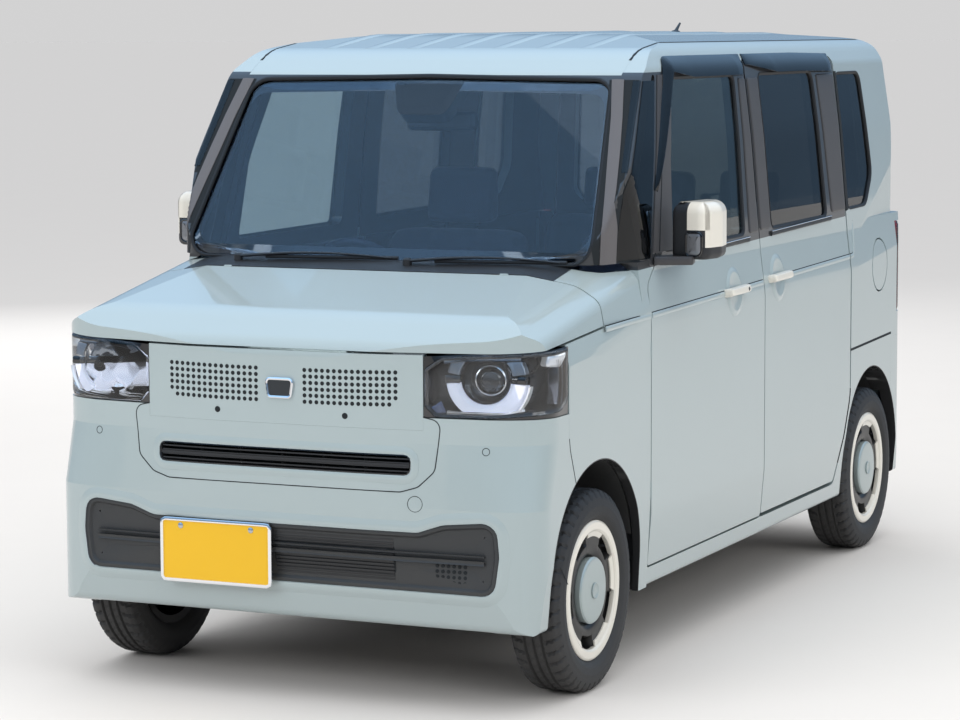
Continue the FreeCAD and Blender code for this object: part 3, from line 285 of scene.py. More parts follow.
LOW_SECTION = rounded([(HALF - .018, .222, 0), (HALF, .430, .3), (HALF, .980, .25), (HALF - .0215, BELT, 0)])
HIGH_SECTION = rounded([(HALF - .017, 1.120, 0), (HALF - .048, 1.466, 2.5), (HALF - .075, TOP - .104, .06),
                        (HALF - .110, TOP - .034, .08), (HALF - .3, TOP - .008, .5), (0, TOP, 0)])
REAR_PLAN = rounded([(HALF, REAR_AXLE - .3, 0), (HALF - .008, TAIL - .030, .12), (HALF - .150, TAIL - .008, .2),
                     (0, TAIL, 0)])
LOW_PLAN = rounded([(0, NOSE + .012, 0), (.25, NOSE + .012, 2), (HALF - .110, NOSE + .032, .3),
                    (HALF - .004, NOSE + .074, .12), (HALF, FRONT_AXLE, 0)])
HIGH_PLAN = rounded([(0, NOSE + .012, 0), (.25, NOSE + .012, 2), (HALF - .110, NOSE + .054, .3),
                     (HALF - .004, NOSE + .1224, .23), (HALF, FRONT_AXLE, 0)])
CABIN_PLAN = rounded([(0, FOOT - .008, 0), (HALF - .090, FOOT + .044, .06), (HALF, FOOT + .330, 2.5),
                      (HALF, REAR_AXLE - .5, 3), (HALF - .038, TAIL - .040, .13), (HALF - .180, TAIL - .008, .3),
                      (0, TAIL, 0)])
NOSE_LINE = rounded([(NOSE + .050, .222, 0), (NOSE + .012, .430, .2), (NOSE + .012, .972, .06),
                     (NOSE + .140, 1.044, .26), (COWL, 1.128, 0)])
ROOF_LINE = rounded([(FOOT - .006, 1.120, 0), (HEAD, TOP - .122, .09), (HEAD + .130, TOP - .052, .3),
                     (HEAD + .5, TOP - .006, 1.5), (REAR_AXLE - .5, TOP, 3), (TAIL - .190, TOP - .024, .5),
                     (TAIL - .096, TOP - .060, .06), (TAIL - .030, 1.120, 0)])
SPLIT = int(np.argmax(ROOF_LINE[:, 1]))


def side_surface(y, z):
    """The left side: the smaller of the section's half width at z and the plan's at y."""
    low = np.interp(z, LOW_SECTION[:, 1], LOW_SECTION[:, 0])
    high = np.interp(z, HIGH_SECTION[:, 1], HIGH_SECTION[:, 0])
    low_plan = np.interp(y, REAR_PLAN[:, 1], REAR_PLAN[:, 0])
    low_plan = np.where(y < REAR_AXLE - .3, np.interp(y, LOW_PLAN[:, 1], LOW_PLAN[:, 0]), low_plan)
    cabin_plan = np.interp(y, CABIN_PLAN[:, 1], CABIN_PLAN[:, 0])
    x = np.where(z < BELT, np.minimum(low, low_plan), np.minimum(high, cabin_plan))
    return np.stack([x, y, z], -1)


def front_surface(x, z):
    """The nose: the plan's y at x, drawn in from the bumper's to the bonnet's, or the side outline's y at z."""
    narrow = np.clip((z - SWELL_LOW) / (SWELL_HIGH - SWELL_LOW), 0, 1)
    low, high = np.interp(np.abs(x), *LOW_PLAN.T), np.interp(np.abs(x), *HIGH_PLAN.T)
    plan = low + (high - low) * narrow
    return np.stack([x, np.maximum(plan, np.interp(z, NOSE_LINE[:, 1], NOSE_LINE[:, 0])), z], -1)


# The cabin's plan from its middle round the windscreen's corner, where x still grows
SCREEN_PLAN = CABIN_PLAN[:21]


def screen_surface(x, z):
    """The windscreen's plane: the larger of the cabin plan's y at x and the side outline's y at z."""
    plan = np.interp(np.abs(x), *SCREEN_PLAN.T)
    slope = np.interp(z, ROOF_LINE[:SPLIT, 1], ROOF_LINE[:SPLIT, 0])
    return np.stack([x, np.maximum(plan, slope), z], -1)


def tail_surface(x, z):
    """The rear face: the smaller of the plan's y at x and the side outline's y at z."""
    plan = np.interp(-np.abs(x), -REAR_PLAN[:, 0], REAR_PLAN[:, 1])
    slope = np.interp(-z, -ROOF_LINE[SPLIT:, 1], ROOF_LINE[SPLIT:, 0])
    low = np.interp(z, [.222, .43, .9, BELT], [TAIL - .05, TAIL, TAIL, TAIL - .036])
    return np.stack([x, np.minimum(plan, np.where(z < 1.13, low, slope)), z], -1)


def roof_surface(x, y):
    """The roof: the smaller of the section's height at x and the side outline's height at y."""
    section = np.interp(-np.abs(x), -HIGH_SECTION[:, 0], HIGH_SECTION[:, 1])
    return np.stack([x, y, np.minimum(section, np.interp(y, ROOF_LINE[:, 0], ROOF_LINE[:, 1]))], -1)


# The way along the nose's plan from the middle of the car
ALONG = np.concatenate([[0], np.cumsum(np.linalg.norm(np.diff(HIGH_PLAN, axis=0), axis=1))])


def corner_surface(s, z):
    """The nose as it wraps round to the side: s is the way along the plan from the middle."""
    x, y = np.interp(s, ALONG, HIGH_PLAN[:, 0]), np.interp(s, ALONG, HIGH_PLAN[:, 1])
    return np.stack([x, np.maximum(y, np.interp(z, NOSE_LINE[:, 1], NOSE_LINE[:, 0])), z], -1)


def above(skin, u, v, height):
    """Points at a height over a skin: the normal is the cross product of its two slopes, turned to the outside."""
    surface, out = skin
    u, v = np.broadcast_arrays(u, v)
    step = 0.002
    along = surface(u + step, v) - surface(u - step, v)
    across = surface(u, v + step) - surface(u, v - step)
    normal = unit(np.cross(along, across))
    normal *= np.sign(normal @ np.array(out, float))[..., None]
    return surface(u, v) + normal * np.asarray(height)[..., None]


# A skin is a surface with the way to its outside
SIDE = (side_surface, (1, 0, 0))
FRONT = (front_surface, (0, -1, 0))
CORNER = (corner_surface, (.5, -1, 0))
SCREEN = (screen_surface, (0, -1, .5))
REAR = (tail_surface, (0, 1, 0))
ROOF = (roof_surface, (0, 0, 1))


def upright(y, out):
    """A flat skin across the car at y."""
    return (lambda u, v: np.stack([u, np.full_like(u, y), v], -1), (0, out, 0))


def rings_over(points, layers, skin):
    """An outline drawn in and raised as each layer (inset, height) says."""
    return [above(skin, *inset(points, shrink).T, height) for shrink, height in layers]


def patch(points, layers, skin, fill=5):
    """A closed plate over a skin: one ring per layer from its back to its front, then rings towards the middle."""
    middle, last = points.mean(0), inset(points, layers[-1][0])
    filling = [above(skin, *(middle + (last - middle) * (1 - k / fill)).T, layers[-1][1]) for k in range(1, fill)]
    return shell(rings_over(points, layers, skin) + filling)


def rim(points, layers, skin):
    """A closed frame over a skin, whose section is the loop of its layers."""
    return ring_shell(rings_over(points, layers, skin))


def border(rings, skin):
    """A closed frame between different outlines of equally many points: rings are (outline, height)."""
    return ring_shell([above(skin, *points.T, height) for points, height in rings])


def plate(low_edge, high_edge, height, skin, depth=.001, rows=40, columns=7, crown=0.0):
    """A closed plate over a skin between two edges, each a line of (u, v), raised by crown in its middle."""
    first, last = (evenly(np.asarray(e, float), rows, closed=False) for e in (low_edge, high_edge))
    share = np.linspace(0, 1, columns)[None, :, None]
    u, v = np.moveaxis(first[:, None] * (1 - share) + last[:, None] * share, -1, 0)
    lift = height + crown * (1 - (2 * share[..., 0] - 1) ** 2)
    return slab(above(skin, u, v, lift), above(skin, u, v, -depth))


def left_of(line):
    """The direction to the left of a line of (u, v) at each of its points."""
    direction = unit(np.gradient(line, axis=0))
    return np.stack([-direction[:, 1], direction[:, 0]], 1)


# Places across a band, from edge to edge
ACROSS_BAND = np.array([-1, -.6, 0, .6, 1])


def strip(path, width, height, skin, depth=0.001, count=40):
    """A flat band along a path over a skin, width across and height over it, crowned in the middle."""
    line = evenly(np.asarray(path, float), count, closed=False)
    across = ACROSS_BAND * width / 2
    u, v = np.moveaxis(line[:, None] + across[None, :, None] * left_of(line)[:, None], -1, 0)
    lift = np.array([.4, .95, 1, .95, .4]) * height
    return slab(above(skin, u, v, lift), above(skin, u, v, -depth))


# ---------------------------------------------------------------- materials

class Graph:
    """The nodes and links of one shader tree. A socket takes a number, a colour or another node's output."""

    def __init__(self, tree):
        self.nodes, self.link = tree.nodes, tree.links.new

    def node(self, kind, sets=(), **options):
        """A node's outputs, with its options set and its sockets filled from name or number to value."""
        made = self.nodes.new("ShaderNode" + kind)
        for key, value in options.items():
            setattr(made, key, value)
        for key, value in dict(sets).items():
            if isinstance(value, bpy.types.NodeSocket):
                self.link(value, made.inputs[key])
            else:
                made.inputs[key].default_value = value
        return made.outputs

    def maths(self, operation, *values, clamp=False):
        """One Math node's result."""
        return self.node("Math", enumerate(values), operation=operation, use_clamp=clamp)[0]

    def mix(self, factor, first, second, kind="MIX"):
        """Two colours mixed by a factor."""
        return self.node("Mix", {0: factor, 6: first, 7: second}, data_type="RGBA", blend_type=kind)[2]

    def slope(self, value, low, high, first=0.0, last=1.0):
        """From first at low to last at high, level outside them."""
        return self.node("MapRange", enumerate((value, low, high, first, last)))[0]


def group(name, inputs, outputs, wire):
    """A shader node group with named sockets; wire gets its graph, its inputs' and its outputs' sockets."""
    made = bpy.data.node_groups.new(name, "ShaderNodeTree")
    for label, kind, default in inputs:
        socket = made.interface.new_socket(label, in_out="INPUT", socket_type="NodeSocket" + kind)
        if default is not None:
            socket.default_value = default
    for label, kind in outputs:
        made.interface.new_socket(label, in_out="OUTPUT", socket_type="NodeSocket" + kind)
    wire(Graph(made), made.nodes.new("NodeGroupInput").outputs, made.nodes.new("NodeGroupOutput").inputs)
    return made


def wire_surface(graph, given, out):
    """Broad and fine noise tint the colour and roughness; dust gathers low down; fine noise raises the grain."""
    maths, link = graph.maths, graph.link
    broad = graph.node("TexNoise", {"Vector": given["Vector"], "Scale": 3.1, "Detail": 4.0})[0]
    fine = graph.node("TexNoise", {"Vector": given["Vector"], "Scale": given["Grain Scale"], "Detail": 5.0,
                                   "Roughness": .62})[0]
    swing, small = (maths("MULTIPLY", maths("SUBTRACT", noise, .5), given["Variation"]) for noise in (broad, fine))
    tone = maths("ADD", maths("ADD", swing, small), 1.0)
    toned = graph.node("VectorMath", {0: given["Color"], 3: tone}, operation="SCALE")[0]
    low = graph.slope(graph.node("SeparateXYZ", {0: given["Vector"]})[2], .75, .18)
    patchy = maths("MULTIPLY", low, maths("ADD", broad, fine))
    dust = maths("MULTIPLY", patchy, given["Dust"], clamp=True)
    link(graph.mix(dust, toned, (.33, .30, .26, 1)), out["Color"])
    rough = maths("ADD", given["Roughness"], maths("MULTIPLY", small, .6))
    link(maths("ADD", rough, maths("MULTIPLY", dust, .35), clamp=True), out["Roughness"])
    link(graph.node("Bump", {"Distance": .0012, "Height": fine, "Strength": given["Grain Depth"]})[0], out["Normal"])


def wire_weave(graph, given, out):
    """Checks shade every other thread; height = checks times a wavy band, over the grain below it."""
    scaled = graph.node("VectorMath", {0: given["Vector"], 3: given["Thread Scale"]}, operation="SCALE")[0]
    checks = graph.node("TexChecker", {"Vector": scaled, "Scale": 1.0, "Color1": (1, 1, 1, 1),
                                       "Color2": (.55, .55, .55, 1)})
    bands = graph.node("TexWave", {"Vector": scaled, "Scale": 1.9, "Distortion": .6, "Detail": 2.0})
    height = graph.maths("MULTIPLY", checks[1], bands[1])
    graph.link(graph.mix(.45, given["Color"], checks[0], "MULTIPLY"), out["Color"])
    bump = graph.node("Bump", {"Distance": .0015, "Strength": .55, "Height": height, "Normal": given["Normal"]})
    graph.link(bump[0], out["Normal"])


BELT_SLOPE, ARCH_RETURN = .021, .045


def wire_zones(graph, given, out):
    """Masks of a side panel: Inner where it faces the cabin, Sash above the belt line z = 1.147 + 0.021 y,
    below the roof rail and between two places along the car, and the arch mask within each wheel arch's radius,
    or a little outside it where the panel looks along the car. The arch mask is painted shade: it turns the
    body-colour faces in the wheel arch near-black, with a painted shadow line along the arch's lip."""
    maths, link = graph.maths, graph.link
    x, y, z = graph.node("SeparateXYZ", {0: given["Vector"]})
    facing = graph.node("SeparateXYZ", {0: given["Normal"]})[0]
    link(graph.slope(maths("MULTIPLY", facing, maths("SIGN", x)), -.35, -.45), out["Inner"])
    belt = maths("SUBTRACT", z, maths("MULTIPLY", y, BELT_SLOPE))
    mask = maths("MULTIPLY", graph.slope(belt, 1.1465, 1.1475), maths("LESS_THAN", z, given["Top"]))
    mask = maths("MULTIPLY", mask, maths("GREATER_THAN", y, given["From"]))
    link(maths("MULTIPLY", mask, maths("LESS_THAN", y, given["To"])), out["Sash"])
    rise = maths("MAXIMUM", maths("SUBTRACT", z, ARCH_Z), 0.0)
    rise = maths("MULTIPLY", rise, rise)
    turned_away = maths("LESS_THAN", maths("ABSOLUTE", facing), .60)
    # Painted shade: near-black within each wheel arch's radius, and a little beyond it on faces that look along the car
    arch_shades = []
    for axle, reach in ((FRONT_AXLE, .3225), (REAR_AXLE, .3175)):
        off = maths("SUBTRACT", y, axle)
        apart = maths("SQRT", maths("ADD", maths("MULTIPLY", off, off), rise))
        near = maths("MULTIPLY", maths("LESS_THAN", apart, reach + ARCH_RETURN), turned_away)
        arch_shades.append(maths("MAXIMUM", maths("LESS_THAN", apart, reach), near))
    link(maths("MAXIMUM", *arch_shades), out["Arch"])


VECTOR, NORMAL = ("Vector", "Vector", None), ("Normal", "Vector", None)
SURFACE = group("surface_detail", [
    VECTOR, ("Color", "Color", (.5, .5, .5, 1)), ("Roughness", "Float", .4), ("Grain Scale", "Float", 200.0),
    ("Grain Depth", "Float", .1), ("Variation", "Float", .1), ("Dust", "Float", 0.0),
], [("Color", "Color"), ("Roughness", "Float"), ("Normal", "Vector")], wire_surface)
WEAVE = group("cloth_weave", [VECTOR, ("Thread Scale", "Float", 300.0), ("Color", "Color", (.2, .2, .25, 1)), NORMAL],
              [("Color", "Color"), ("Normal", "Vector")], wire_weave)
ZONES = group("panel_zones", [VECTOR, NORMAL, ("Top", "Float", 2.0), ("From", "Float", -2.0), ("To", "Float", 2.0)],
              [("Inner", "Float"), ("Sash", "Float"), ("Arch", "Float")], wire_zones)


def finish(name, color, rough, metal=0.0, grain=250.0, depth=.05, variation=.08, dust=0.0, zones=None, weave=None,
           inside=None, stripes=None, **sockets):
    """A material: object coordinates through surface_detail into a Principled shader, whose constants are its own.
    zones is (top, from, to) of the black sash, inside (axis, sign, tint) of the side that faces the cabin, weave
    the threads' scale, stripes (axis, scale, depth)."""
    made = bpy.data.materials.new(name)
    made.use_nodes = True
    graph = Graph(made.node_tree)
    maths, link = graph.maths, graph.link
    where = graph.node("TexCoord")
    place, outside = where["Object"], where["Normal"]
    shade, roughness, normal = graph.node("Group", {
        "Vector": place, "Color": (*color, 1), "Roughness": rough, "Grain Scale": grain, "Grain Depth": depth,
        "Variation": variation, "Dust": dust}, node_tree=SURFACE)
    if zones:
        top, start, end = zones
        masks = graph.node("Group", {"Vector": place, "Normal": outside, "Top": top, "From": start, "To": end},
                           node_tree=ZONES)
        # The arch mask's near-black tint is painted shade in the wheel arches; the sash black and the cabin-side grey
        # are the panels' own colours
        for mask, tint in (("Sash", (.022, .023, .025, 1)), ("Inner", (.085, .088, .10, 1)),
                           ("Arch", (.012, .012, .013, 1))):
            shade = graph.mix(masks[mask], shade, tint)
        cover = maths("MAXIMUM", maths("MAXIMUM", masks["Sash"], masks["Inner"]), maths("MULTIPLY", masks["Arch"], 2.0))
        roughness = maths("ADD", roughness, maths("MULTIPLY", cover, .22), clamp=True)
    if inside:
        axis, sign, tint = inside
        facing = graph.node("SeparateXYZ", {0: outside})[axis]
        mask = graph.slope(maths("MULTIPLY", facing, float(sign)), .35, .45)
        shade = graph.mix(mask, shade, (*tint, 1))
        roughness = maths("ADD", roughness, maths("MULTIPLY", mask, .4), clamp=True)
    if weave:
        shade, normal = graph.node("Group", {"Vector": place, "Thread Scale": weave, "Color": shade, "Normal": normal},
                                   node_tree=WEAVE)
    if stripes:
        axis, scale, strength = stripes
        bands = graph.node("TexWave", {"Vector": place, "Scale": scale}, bands_direction=axis)[1]
        normal = graph.node("Bump", {"Strength": strength, "Distance": .002, "Height": bands, "Normal": normal})[0]
    shader = made.node_tree.nodes["Principled BSDF"].inputs
    for label, source in (("Base Color", shade), ("Roughness", roughness), ("Normal", normal)):
        link(source, shader[label])
    for label, value in {"Metallic": metal, **sockets}.items():
        shader[label.replace("_", " ")].default_value = value
    return made


def body_paint(name, dust=.10, **more):
    """The pale blue paint under its clear coat."""
    return finish("pastel_paint" + name, (.375, .455, .470), .32, grain=900, depth=.012, variation=.035, dust=dust,
                  Coat_Weight=.9, Coat_Roughness=.04, **more)


def glass(name, color, variation=.02, rough=.0, grain=2, depth=.004, **more):
    """Tinted glass or clear plastic, with broad faint waves in its surface."""
    return finish(name, color, rough, grain=grain, depth=depth, variation=variation, Transmission_Weight=1.0, IOR=1.45,
                  **more)


paint = body_paint("", zones=(2.0, 3.0, 2.0))
paint_door = body_paint("_door", zones=(2.0, -2.0, 2.0))
paint_side = body_paint("_side", zones=(1.676, -1.2, -.40))
paint_roof = body_paint("_roof", dust=0.0, inside=(2, -1, (.50, .49, .46)))
paint_gate = body_paint("_gate", dust=.12, inside=(1, -1, (.10, .10, .11)))
aid_mirror = finish("aid_mirror_grey", (.24, .25, .27), .20, .5, 300, .02)
under = finish("underbody_coat", (.020, .021, .022), .75, 0, 120, .5, .3, .06)
steel = finish("chassis_black_steel", (.035, .036, .038), .55, .3, 180, .35, .35, .45)
alloy = finish("engine_cast_alloy", (.42, .43, .44), .5, .8, 300, .5, .25, .2)
pipe = finish("exhaust_heat_steel", (.36, .33, .29), .38, .9, 160, .2, .4, .25)
trim = finish("trim_grained_black", (.020, .021, .023), .46, 0, 1400, .10, .18)
gloss_black = finish("piano_black", (.008, .008, .009), .12, 0, 500, .01, .1, Coat_Weight=.8, Coat_Roughness=.03)
garnish = finish("garnish_dark_grey", (.024, .027, .030), .50, 0, 1100, .30, .12, .08)
sash = finish("sash_satin_grey", (.055, .053, .055), .42, 0, 900, .04)
pillar_strip = finish("pillar_strip_grey", (.120, .113, .116), .40, 0, 900, .03, .06)
gap = finish("seam_shadow", (.012, .014, .015), .8, 0, 400, .1, .2)
rubber = finish("seal_rubber", (.014, .014, .015), .62, 0, 900, .25, .2)
cream = finish("cream_white", (.80, .77, .69), .28, 0, 700, .02, .03, .04, Coat_Weight=.6)
chrome = finish("bright_chrome", (.82, .83, .85), .08, 1.0, 300, .01, .05)
dull_chrome = finish("satin_chrome", (.55, .56, .58), .24, 1.0, 500, .03)
tyre_rubber = finish("tyre_rubber", (.018, .019, .021), .70, 0, 420, .35, .35, .07)
wheel_black = finish("wheel_gloss_black", (.010, .010, .011), .30, 0, 500, .02, .15, .03, Coat_Weight=.08,
                     Specular_IOR_Level=.25)
disc_paint = finish("wheel_disc_paint", (.38, .455, .460), .34, .2, 700, .03, .05, .10, Coat_Weight=.5)
brake = finish("brake_iron", (.16, .13, .11), .5, .7, 300, .4, .4)
plate_yellow = finish("plate_yellow", (.86, .50, .012), .38, 0, 600, variation=.04)
diffuse_white = finish("light_guide_white", (.78, .80, .90), .30, 0, 300, .03, .03, Emission_Strength=.25,
                       Emission_Color=(.82, .86, 1, 1))
bronze = finish("lamp_bronze", (.30, .19, .09), .16, .9, 200, variation=.3, stripes=("Z", 28.0, .5))
lamp_grey = finish("lamp_inner_grey", (.035, .037, .042), .22, .5, 400, variation=.25)
lamp_ghost = finish("lamp_ring_unlit", (.30, .33, .37), .14, .55, 300, .03, .10)
lamp_blue = finish("lamp_facet_blue", (.10, .13, .22), .10, .6, 300, .02, .10)
# White reflector parts of the headlamp; their faint emission is a painted highlight, since a reflector gives no light
glowing_reflector_white = finish("lamp_reflector_painted_glow", (.85, .86, .88), .10, .45, 300, .02, .05, Emission_Strength=.10,
                      Emission_Color=(1, 1, 1, 1))
dash_dark = finish("dash_soft_dark", (.030, .036, .058), .62, 0, 1500, .10, .15)
dash_light = finish("dash_pale_panel", (.62, .61, .56), .55, 0, 1300, .10, .06)
seat_cloth = finish("seat_cloth_navy", (.075, .085, .14), .88, 0, 500, .25, .2, weave=260.0, Sheen_Weight=.35,
                    Sheen_Roughness=.5)
screen_black = finish("display_black", (.006, .007, .010), .10, 0, 600, .01, .1, Coat_Weight=1.0)
clear_glass = glass("glass_clear_tint", (.56, .68, .80))
door_tint = glass("glass_door_tint", (.42, .50, .48), .03)
smoke_glass = glass("glass_privacy_dark", (.10, .11, .115), .04)
visor_smoke = glass("visor_smoked", (.018, .018, .02), .06, .03)
lens_clear = glass("lens_clear", (.97, .98, .98), .01, grain=3, depth=.003)
lens_red = glass("lens_red", (.62, .012, .010), .05, .06, 3, .01, stripes=("Z", 40.0, .15))
lens_dark = glass("projector_glass", (.55, .62, .70), grain=3, depth=.003)

# CAD nodes that stay in sight, by their finish
CARRIED = {
    under: ["floor_pan"],
    paint_side: ["body_side_left", "body_side_right"],
    paint_roof: ["roof_panel"],
    paint_gate: ["tailgate"],
    paint_door: ["slide_doors", "front_door_left", "front_door_right"],
    paint: ["front_fenders", "grille_panel", "front_bumper", "rear_bumper", "bonnet", "fuel_lid"],
    clear_glass: ["windscreen"],
    smoke_glass: ["side_glass", "tailgate_glass"],
    door_tint: ["door_glass_left", "door_glass_right"],
    trim: ["cowl_panel", "fuel_tank"],
    alloy: ["engine_block"],
    pipe: ["exhaust"],
    steel: ["front_suspension", "rear_axle"],
    brake: ["knuckle_left", "knuckle_right"],
    dash_dark: ["dashboard"],
}
for material, names in CARRIED.items():
    for name in names:
        mesh = nodes[name].data
        mesh.materials.clear()
        mesh.materials.append(material)

# ---------------------------------------------------------------- wheels

BEAD_RADIUS = .1785
HALF_TYRE = [(-.0535, BEAD_RADIUS, 0), (-.0600, .1900, .01), (-.0745, .2080, .03), (-.0775, .2300, .03),
             (-.0735, .2560, .02), (-.0640, .2730, .012), (-.0500, TYRE_RADIUS, .02)]
TYRE_SECTION = np.vstack([
    evenly(rounded(HALF_TYRE + [(-along, radius, bend) for along, radius, bend in HALF_TYRE[::-1]]), 96, closed=False),
    [[.050, BEAD_RADIUS], [-.050, BEAD_RADIUS]]])


def tread_wave(angle, along, radius):
    """Grooves: three rings where |along - place| < 4 mm, and slots across both shoulders, 46 round the tyre."""
    groove = np.zeros_like(along)
    for place in (-.024, 0.0, .024):
        groove = np.maximum(groove, np.clip((.0040 - np.abs(along - place)) / .0012, 0, 1))
    slant = angle * 46 + along * 60 * np.sign(along)
    slot = np.clip((np.abs(np.sin(slant / 2)) - .925) / .04, 0, 1)
    shoulder = np.clip((np.abs(along) - .031) / .004, 0, 1) * np.clip((radius - .252) / .006, 0, 1)
    crossing = np.clip((np.abs(np.sin(angle * 32 + along * 90)) - .975) / .02, 0, 1) * (np.abs(along) < .030)
    tread = np.clip((radius - .270) / .004, 0, 1)
    dip = np.maximum.reduce([groove * tread * .0065, slot * shoulder * .0070, crossing * tread * .0035])
    rib = .0007 * (np.abs(np.sin(angle * 90)) > .35) * np.clip(1 - np.abs(radius - .232) / .004, 0, 1)
    bead = sum(.0012 * np.clip(1 - np.abs(radius - place) / width, 0, 1)
               for place, width in ((.197, .002), (.245, .0016)))
    return along + (rib + bead) * np.sign(along), radius - dip


# Sections of the wheel as rows (along its axis, radius)
BARREL = [(-.062, .188), (-.054, .188), (-.054, .178), (.054, .178), (.054, .188), (.062, .191), (.064, .186),
          (.060, .174), (.030, .170), (-.060, .166)]
FACE = (.112, .126, .1295, .133, .137, .148, .156, .1600, .1635, .1665)
DISC = [(-.002, .026), (.006, .070), (.046, .0935), (.053, .100)]
DISC += [(.0560 - .0015 * k / 10, radius) for k, radius in enumerate(FACE)]
DISC += [(.052, .1735), (.044, .1735), (.041, .168), (.040, .150), (.038, .104), (.030, .088), (-.010, .062),
         (-.012, .026)]
COVER = evenly(rounded([(.030, .001, 0), (.030, .0885, .001), (.0640, .0920, .004), (.0690, .087, .004),
                        (.0700, .060, .05), (.0710, .001, 0)]), 40, closed=False)
CAP = [(.070, TIP), (.0705, .021), (.0735, .0225), (.0745, .0205), (.0730, .018), (.0720, TIP)]
RING = rounded([(.050, .1620, .002), (.0640, .1615, .002), (.0690, .1680, .005), (.0690, .1860, .005),
                (.0650, .1930, .003), (.054, .1905, .002)], 4, closed=True)
GLINT = [(.008, TIP), (.009, .0065), (.022, .0075), (.028, .0045), (.029, TIP)]
VALVE = [(.030, TIP), (.030, .0038), (.052, .0032), (.056, .0022), (.057, TIP)]
LOBES, LOBE_START = 5, math.radians(-9)
GLINT_RADIUS, VALVE_RADIUS, VALVE_ANGLE = .148, .150, .785


def window_wave(angle, along, radius):
    """Windows between the lobes: the disc falls away where cos(n (angle - start)) is under -0.24 between two radii."""
    open_way = np.clip((-np.cos(LOBES * (angle - LOBE_START)) - .24) / .10, 0, 1)
    band = np.clip((radius - .1285) / .004, 0, 1) * np.clip((.1670 - radius) / .003, 0, 1)
    return along - .030 * open_way * band, radius


def lobe(centre, axis, at):
    """A cream lobe of the ring: a slab from radius 147 to 165 mm over 39 degrees that slopes inwards."""
    spread = np.linspace(-1, 1, 24)[:, None]
    share = np.linspace(0, 1, 8)[None, :]
    angle = at + math.radians(19.5) * spread * (.84 + .16 * share)
    radius = .1475 + .0175 * share + 0 * spread
    along = .0588 + .0052 * share + 0 * spread
    up = np.array([0, 0, 1.0])
    round_way = np.cos(angle)[..., None] * up + np.sin(angle)[..., None] * np.cross(axis, up)
    outer = centre + along[..., None] * axis + radius[..., None] * round_way
    return slab(outer, outer - .004 * axis)


for corner, sign, axle in WHEELS:
    centre = np.array([sign * WHEEL_X, axle, TYRE_RADIUS])
    axis = np.array([sign, 0, 0.0])
    tyre = ring_shell(lathe(TYRE_SECTION, centre, axis, 320, wave=tread_wave))
    piece("tyre_tread_" + corner, of(tyre_rubber, tyre), "wheel_" + corner, "tyre", ["tyre_" + corner], smooth=28)
    wheel = of(wheel_black, turned(BARREL, centre, axis, 96),
               ring_shell(lathe(DISC, centre, axis, 240, wave=window_wave)))
    wheel += of(cream, ring_shell(lathe(RING, centre, axis, 96)),
                *(lobe(centre, axis, LOBE_START + 2 * math.pi * k / LOBES) for k in range(LOBES)))
    wheel += of(disc_paint, turned(COVER, centre, axis, 72), turned(CAP, centre, axis, 48))
    for k in range(LOBES):
        angle = LOBE_START + 2 * math.pi * (k + .5) / LOBES
        place = centre + GLINT_RADIUS * np.array([0, -sign * math.sin(angle), math.cos(angle)])
        wheel += of(dull_chrome, turned(GLINT, place, axis, 14))
    place = centre + VALVE_RADIUS * np.array([0, math.sin(VALVE_ANGLE), math.cos(VALVE_ANGLE)])
    wheel += of(rubber, turned(VALVE, place, axis, 12))
    piece("wheel_disc_" + corner, wheel, "wheel_" + corner, "rim", ["rim_" + corner])

# ---------------------------------------------------------------- headlamps: (s, z) along the nose's corner

LAMP_END = float(np.interp(-1.4460, HIGH_PLAN[:, 1], ALONG))
LAMP = outline([(.446, .7925, .006), (.600, .7925, .2), (LAMP_END - .050, .8040, .05), (LAMP_END - .005, .828, .02),
                (LAMP_END - .005, .9640, .008), (.600, .9575, .3), (.466, .9495, .008), (.4185, .918, .008),
                (.4185, .8195, .008)], 160)
OPENING = outline([(.4150, .7900, .001), (.600, .7900, .2), (LAMP_END - .050, .7900, .05),
                   (LAMP_END - .001, .7905, .001), (LAMP_END - .001, .9690, .001), (.600, .9610, .3),
                   (.466, .9530, .001), (.4150, .9505, .001), (.4150, .8195, .001)], 160)
lens = of(lens_clear, patch(LAMP, [(0, -.006), (0, -.0015), (.002, 0), (.006, .0006)], CORNER, fill=10))
piece("headlamp_lenses", both(lens), "body", "lamp_front", ["headlamps"])

LAMP_X, LAMP_Z, LAMP_TURN = .578, .892, .16
LAMP_MIDDLE = np.array([LAMP_X, float(front_surface(np.array(LAMP_X), np.array(LAMP_Z))[1]) + .022, LAMP_Z])
LENS_MIDDLE = LAMP_MIDDLE + np.array([.012, .004, -.002])


def lamp_turned(profile, middle=LENS_MIDDLE, around=48):
    """A shell turned about the lamp's own axis, which looks a little outwards."""
    return turned(profile, middle, (LAMP_TURN, -1, 0), around)


def arc_band(start, stop, inner, outer, low, high, rise=0.0):
    """A domed band round the unit's middle between two angles and two radii, cut level at low and high."""
    sweep = np.radians(np.linspace(start, stop, 60))[:, None]
    section = rounded([(inner, -.016, 0), (inner, .004, .003), (inner + .010, .010 + rise, .006),
                       (outer - .004, .006 + rise, .006), (outer, -.016, 0)], 4)
    radial, forward = section[:, 0][None, :], section[:, 1][None, :]
    x = radial * np.cos(sweep)
    return shell(np.stack([LAMP_MIDDLE[0] + x, LAMP_MIDDLE[1] - forward + LAMP_TURN * x,
                           np.clip(LAMP_MIDDLE[2] + radial * np.sin(sweep), low, high)], -1))


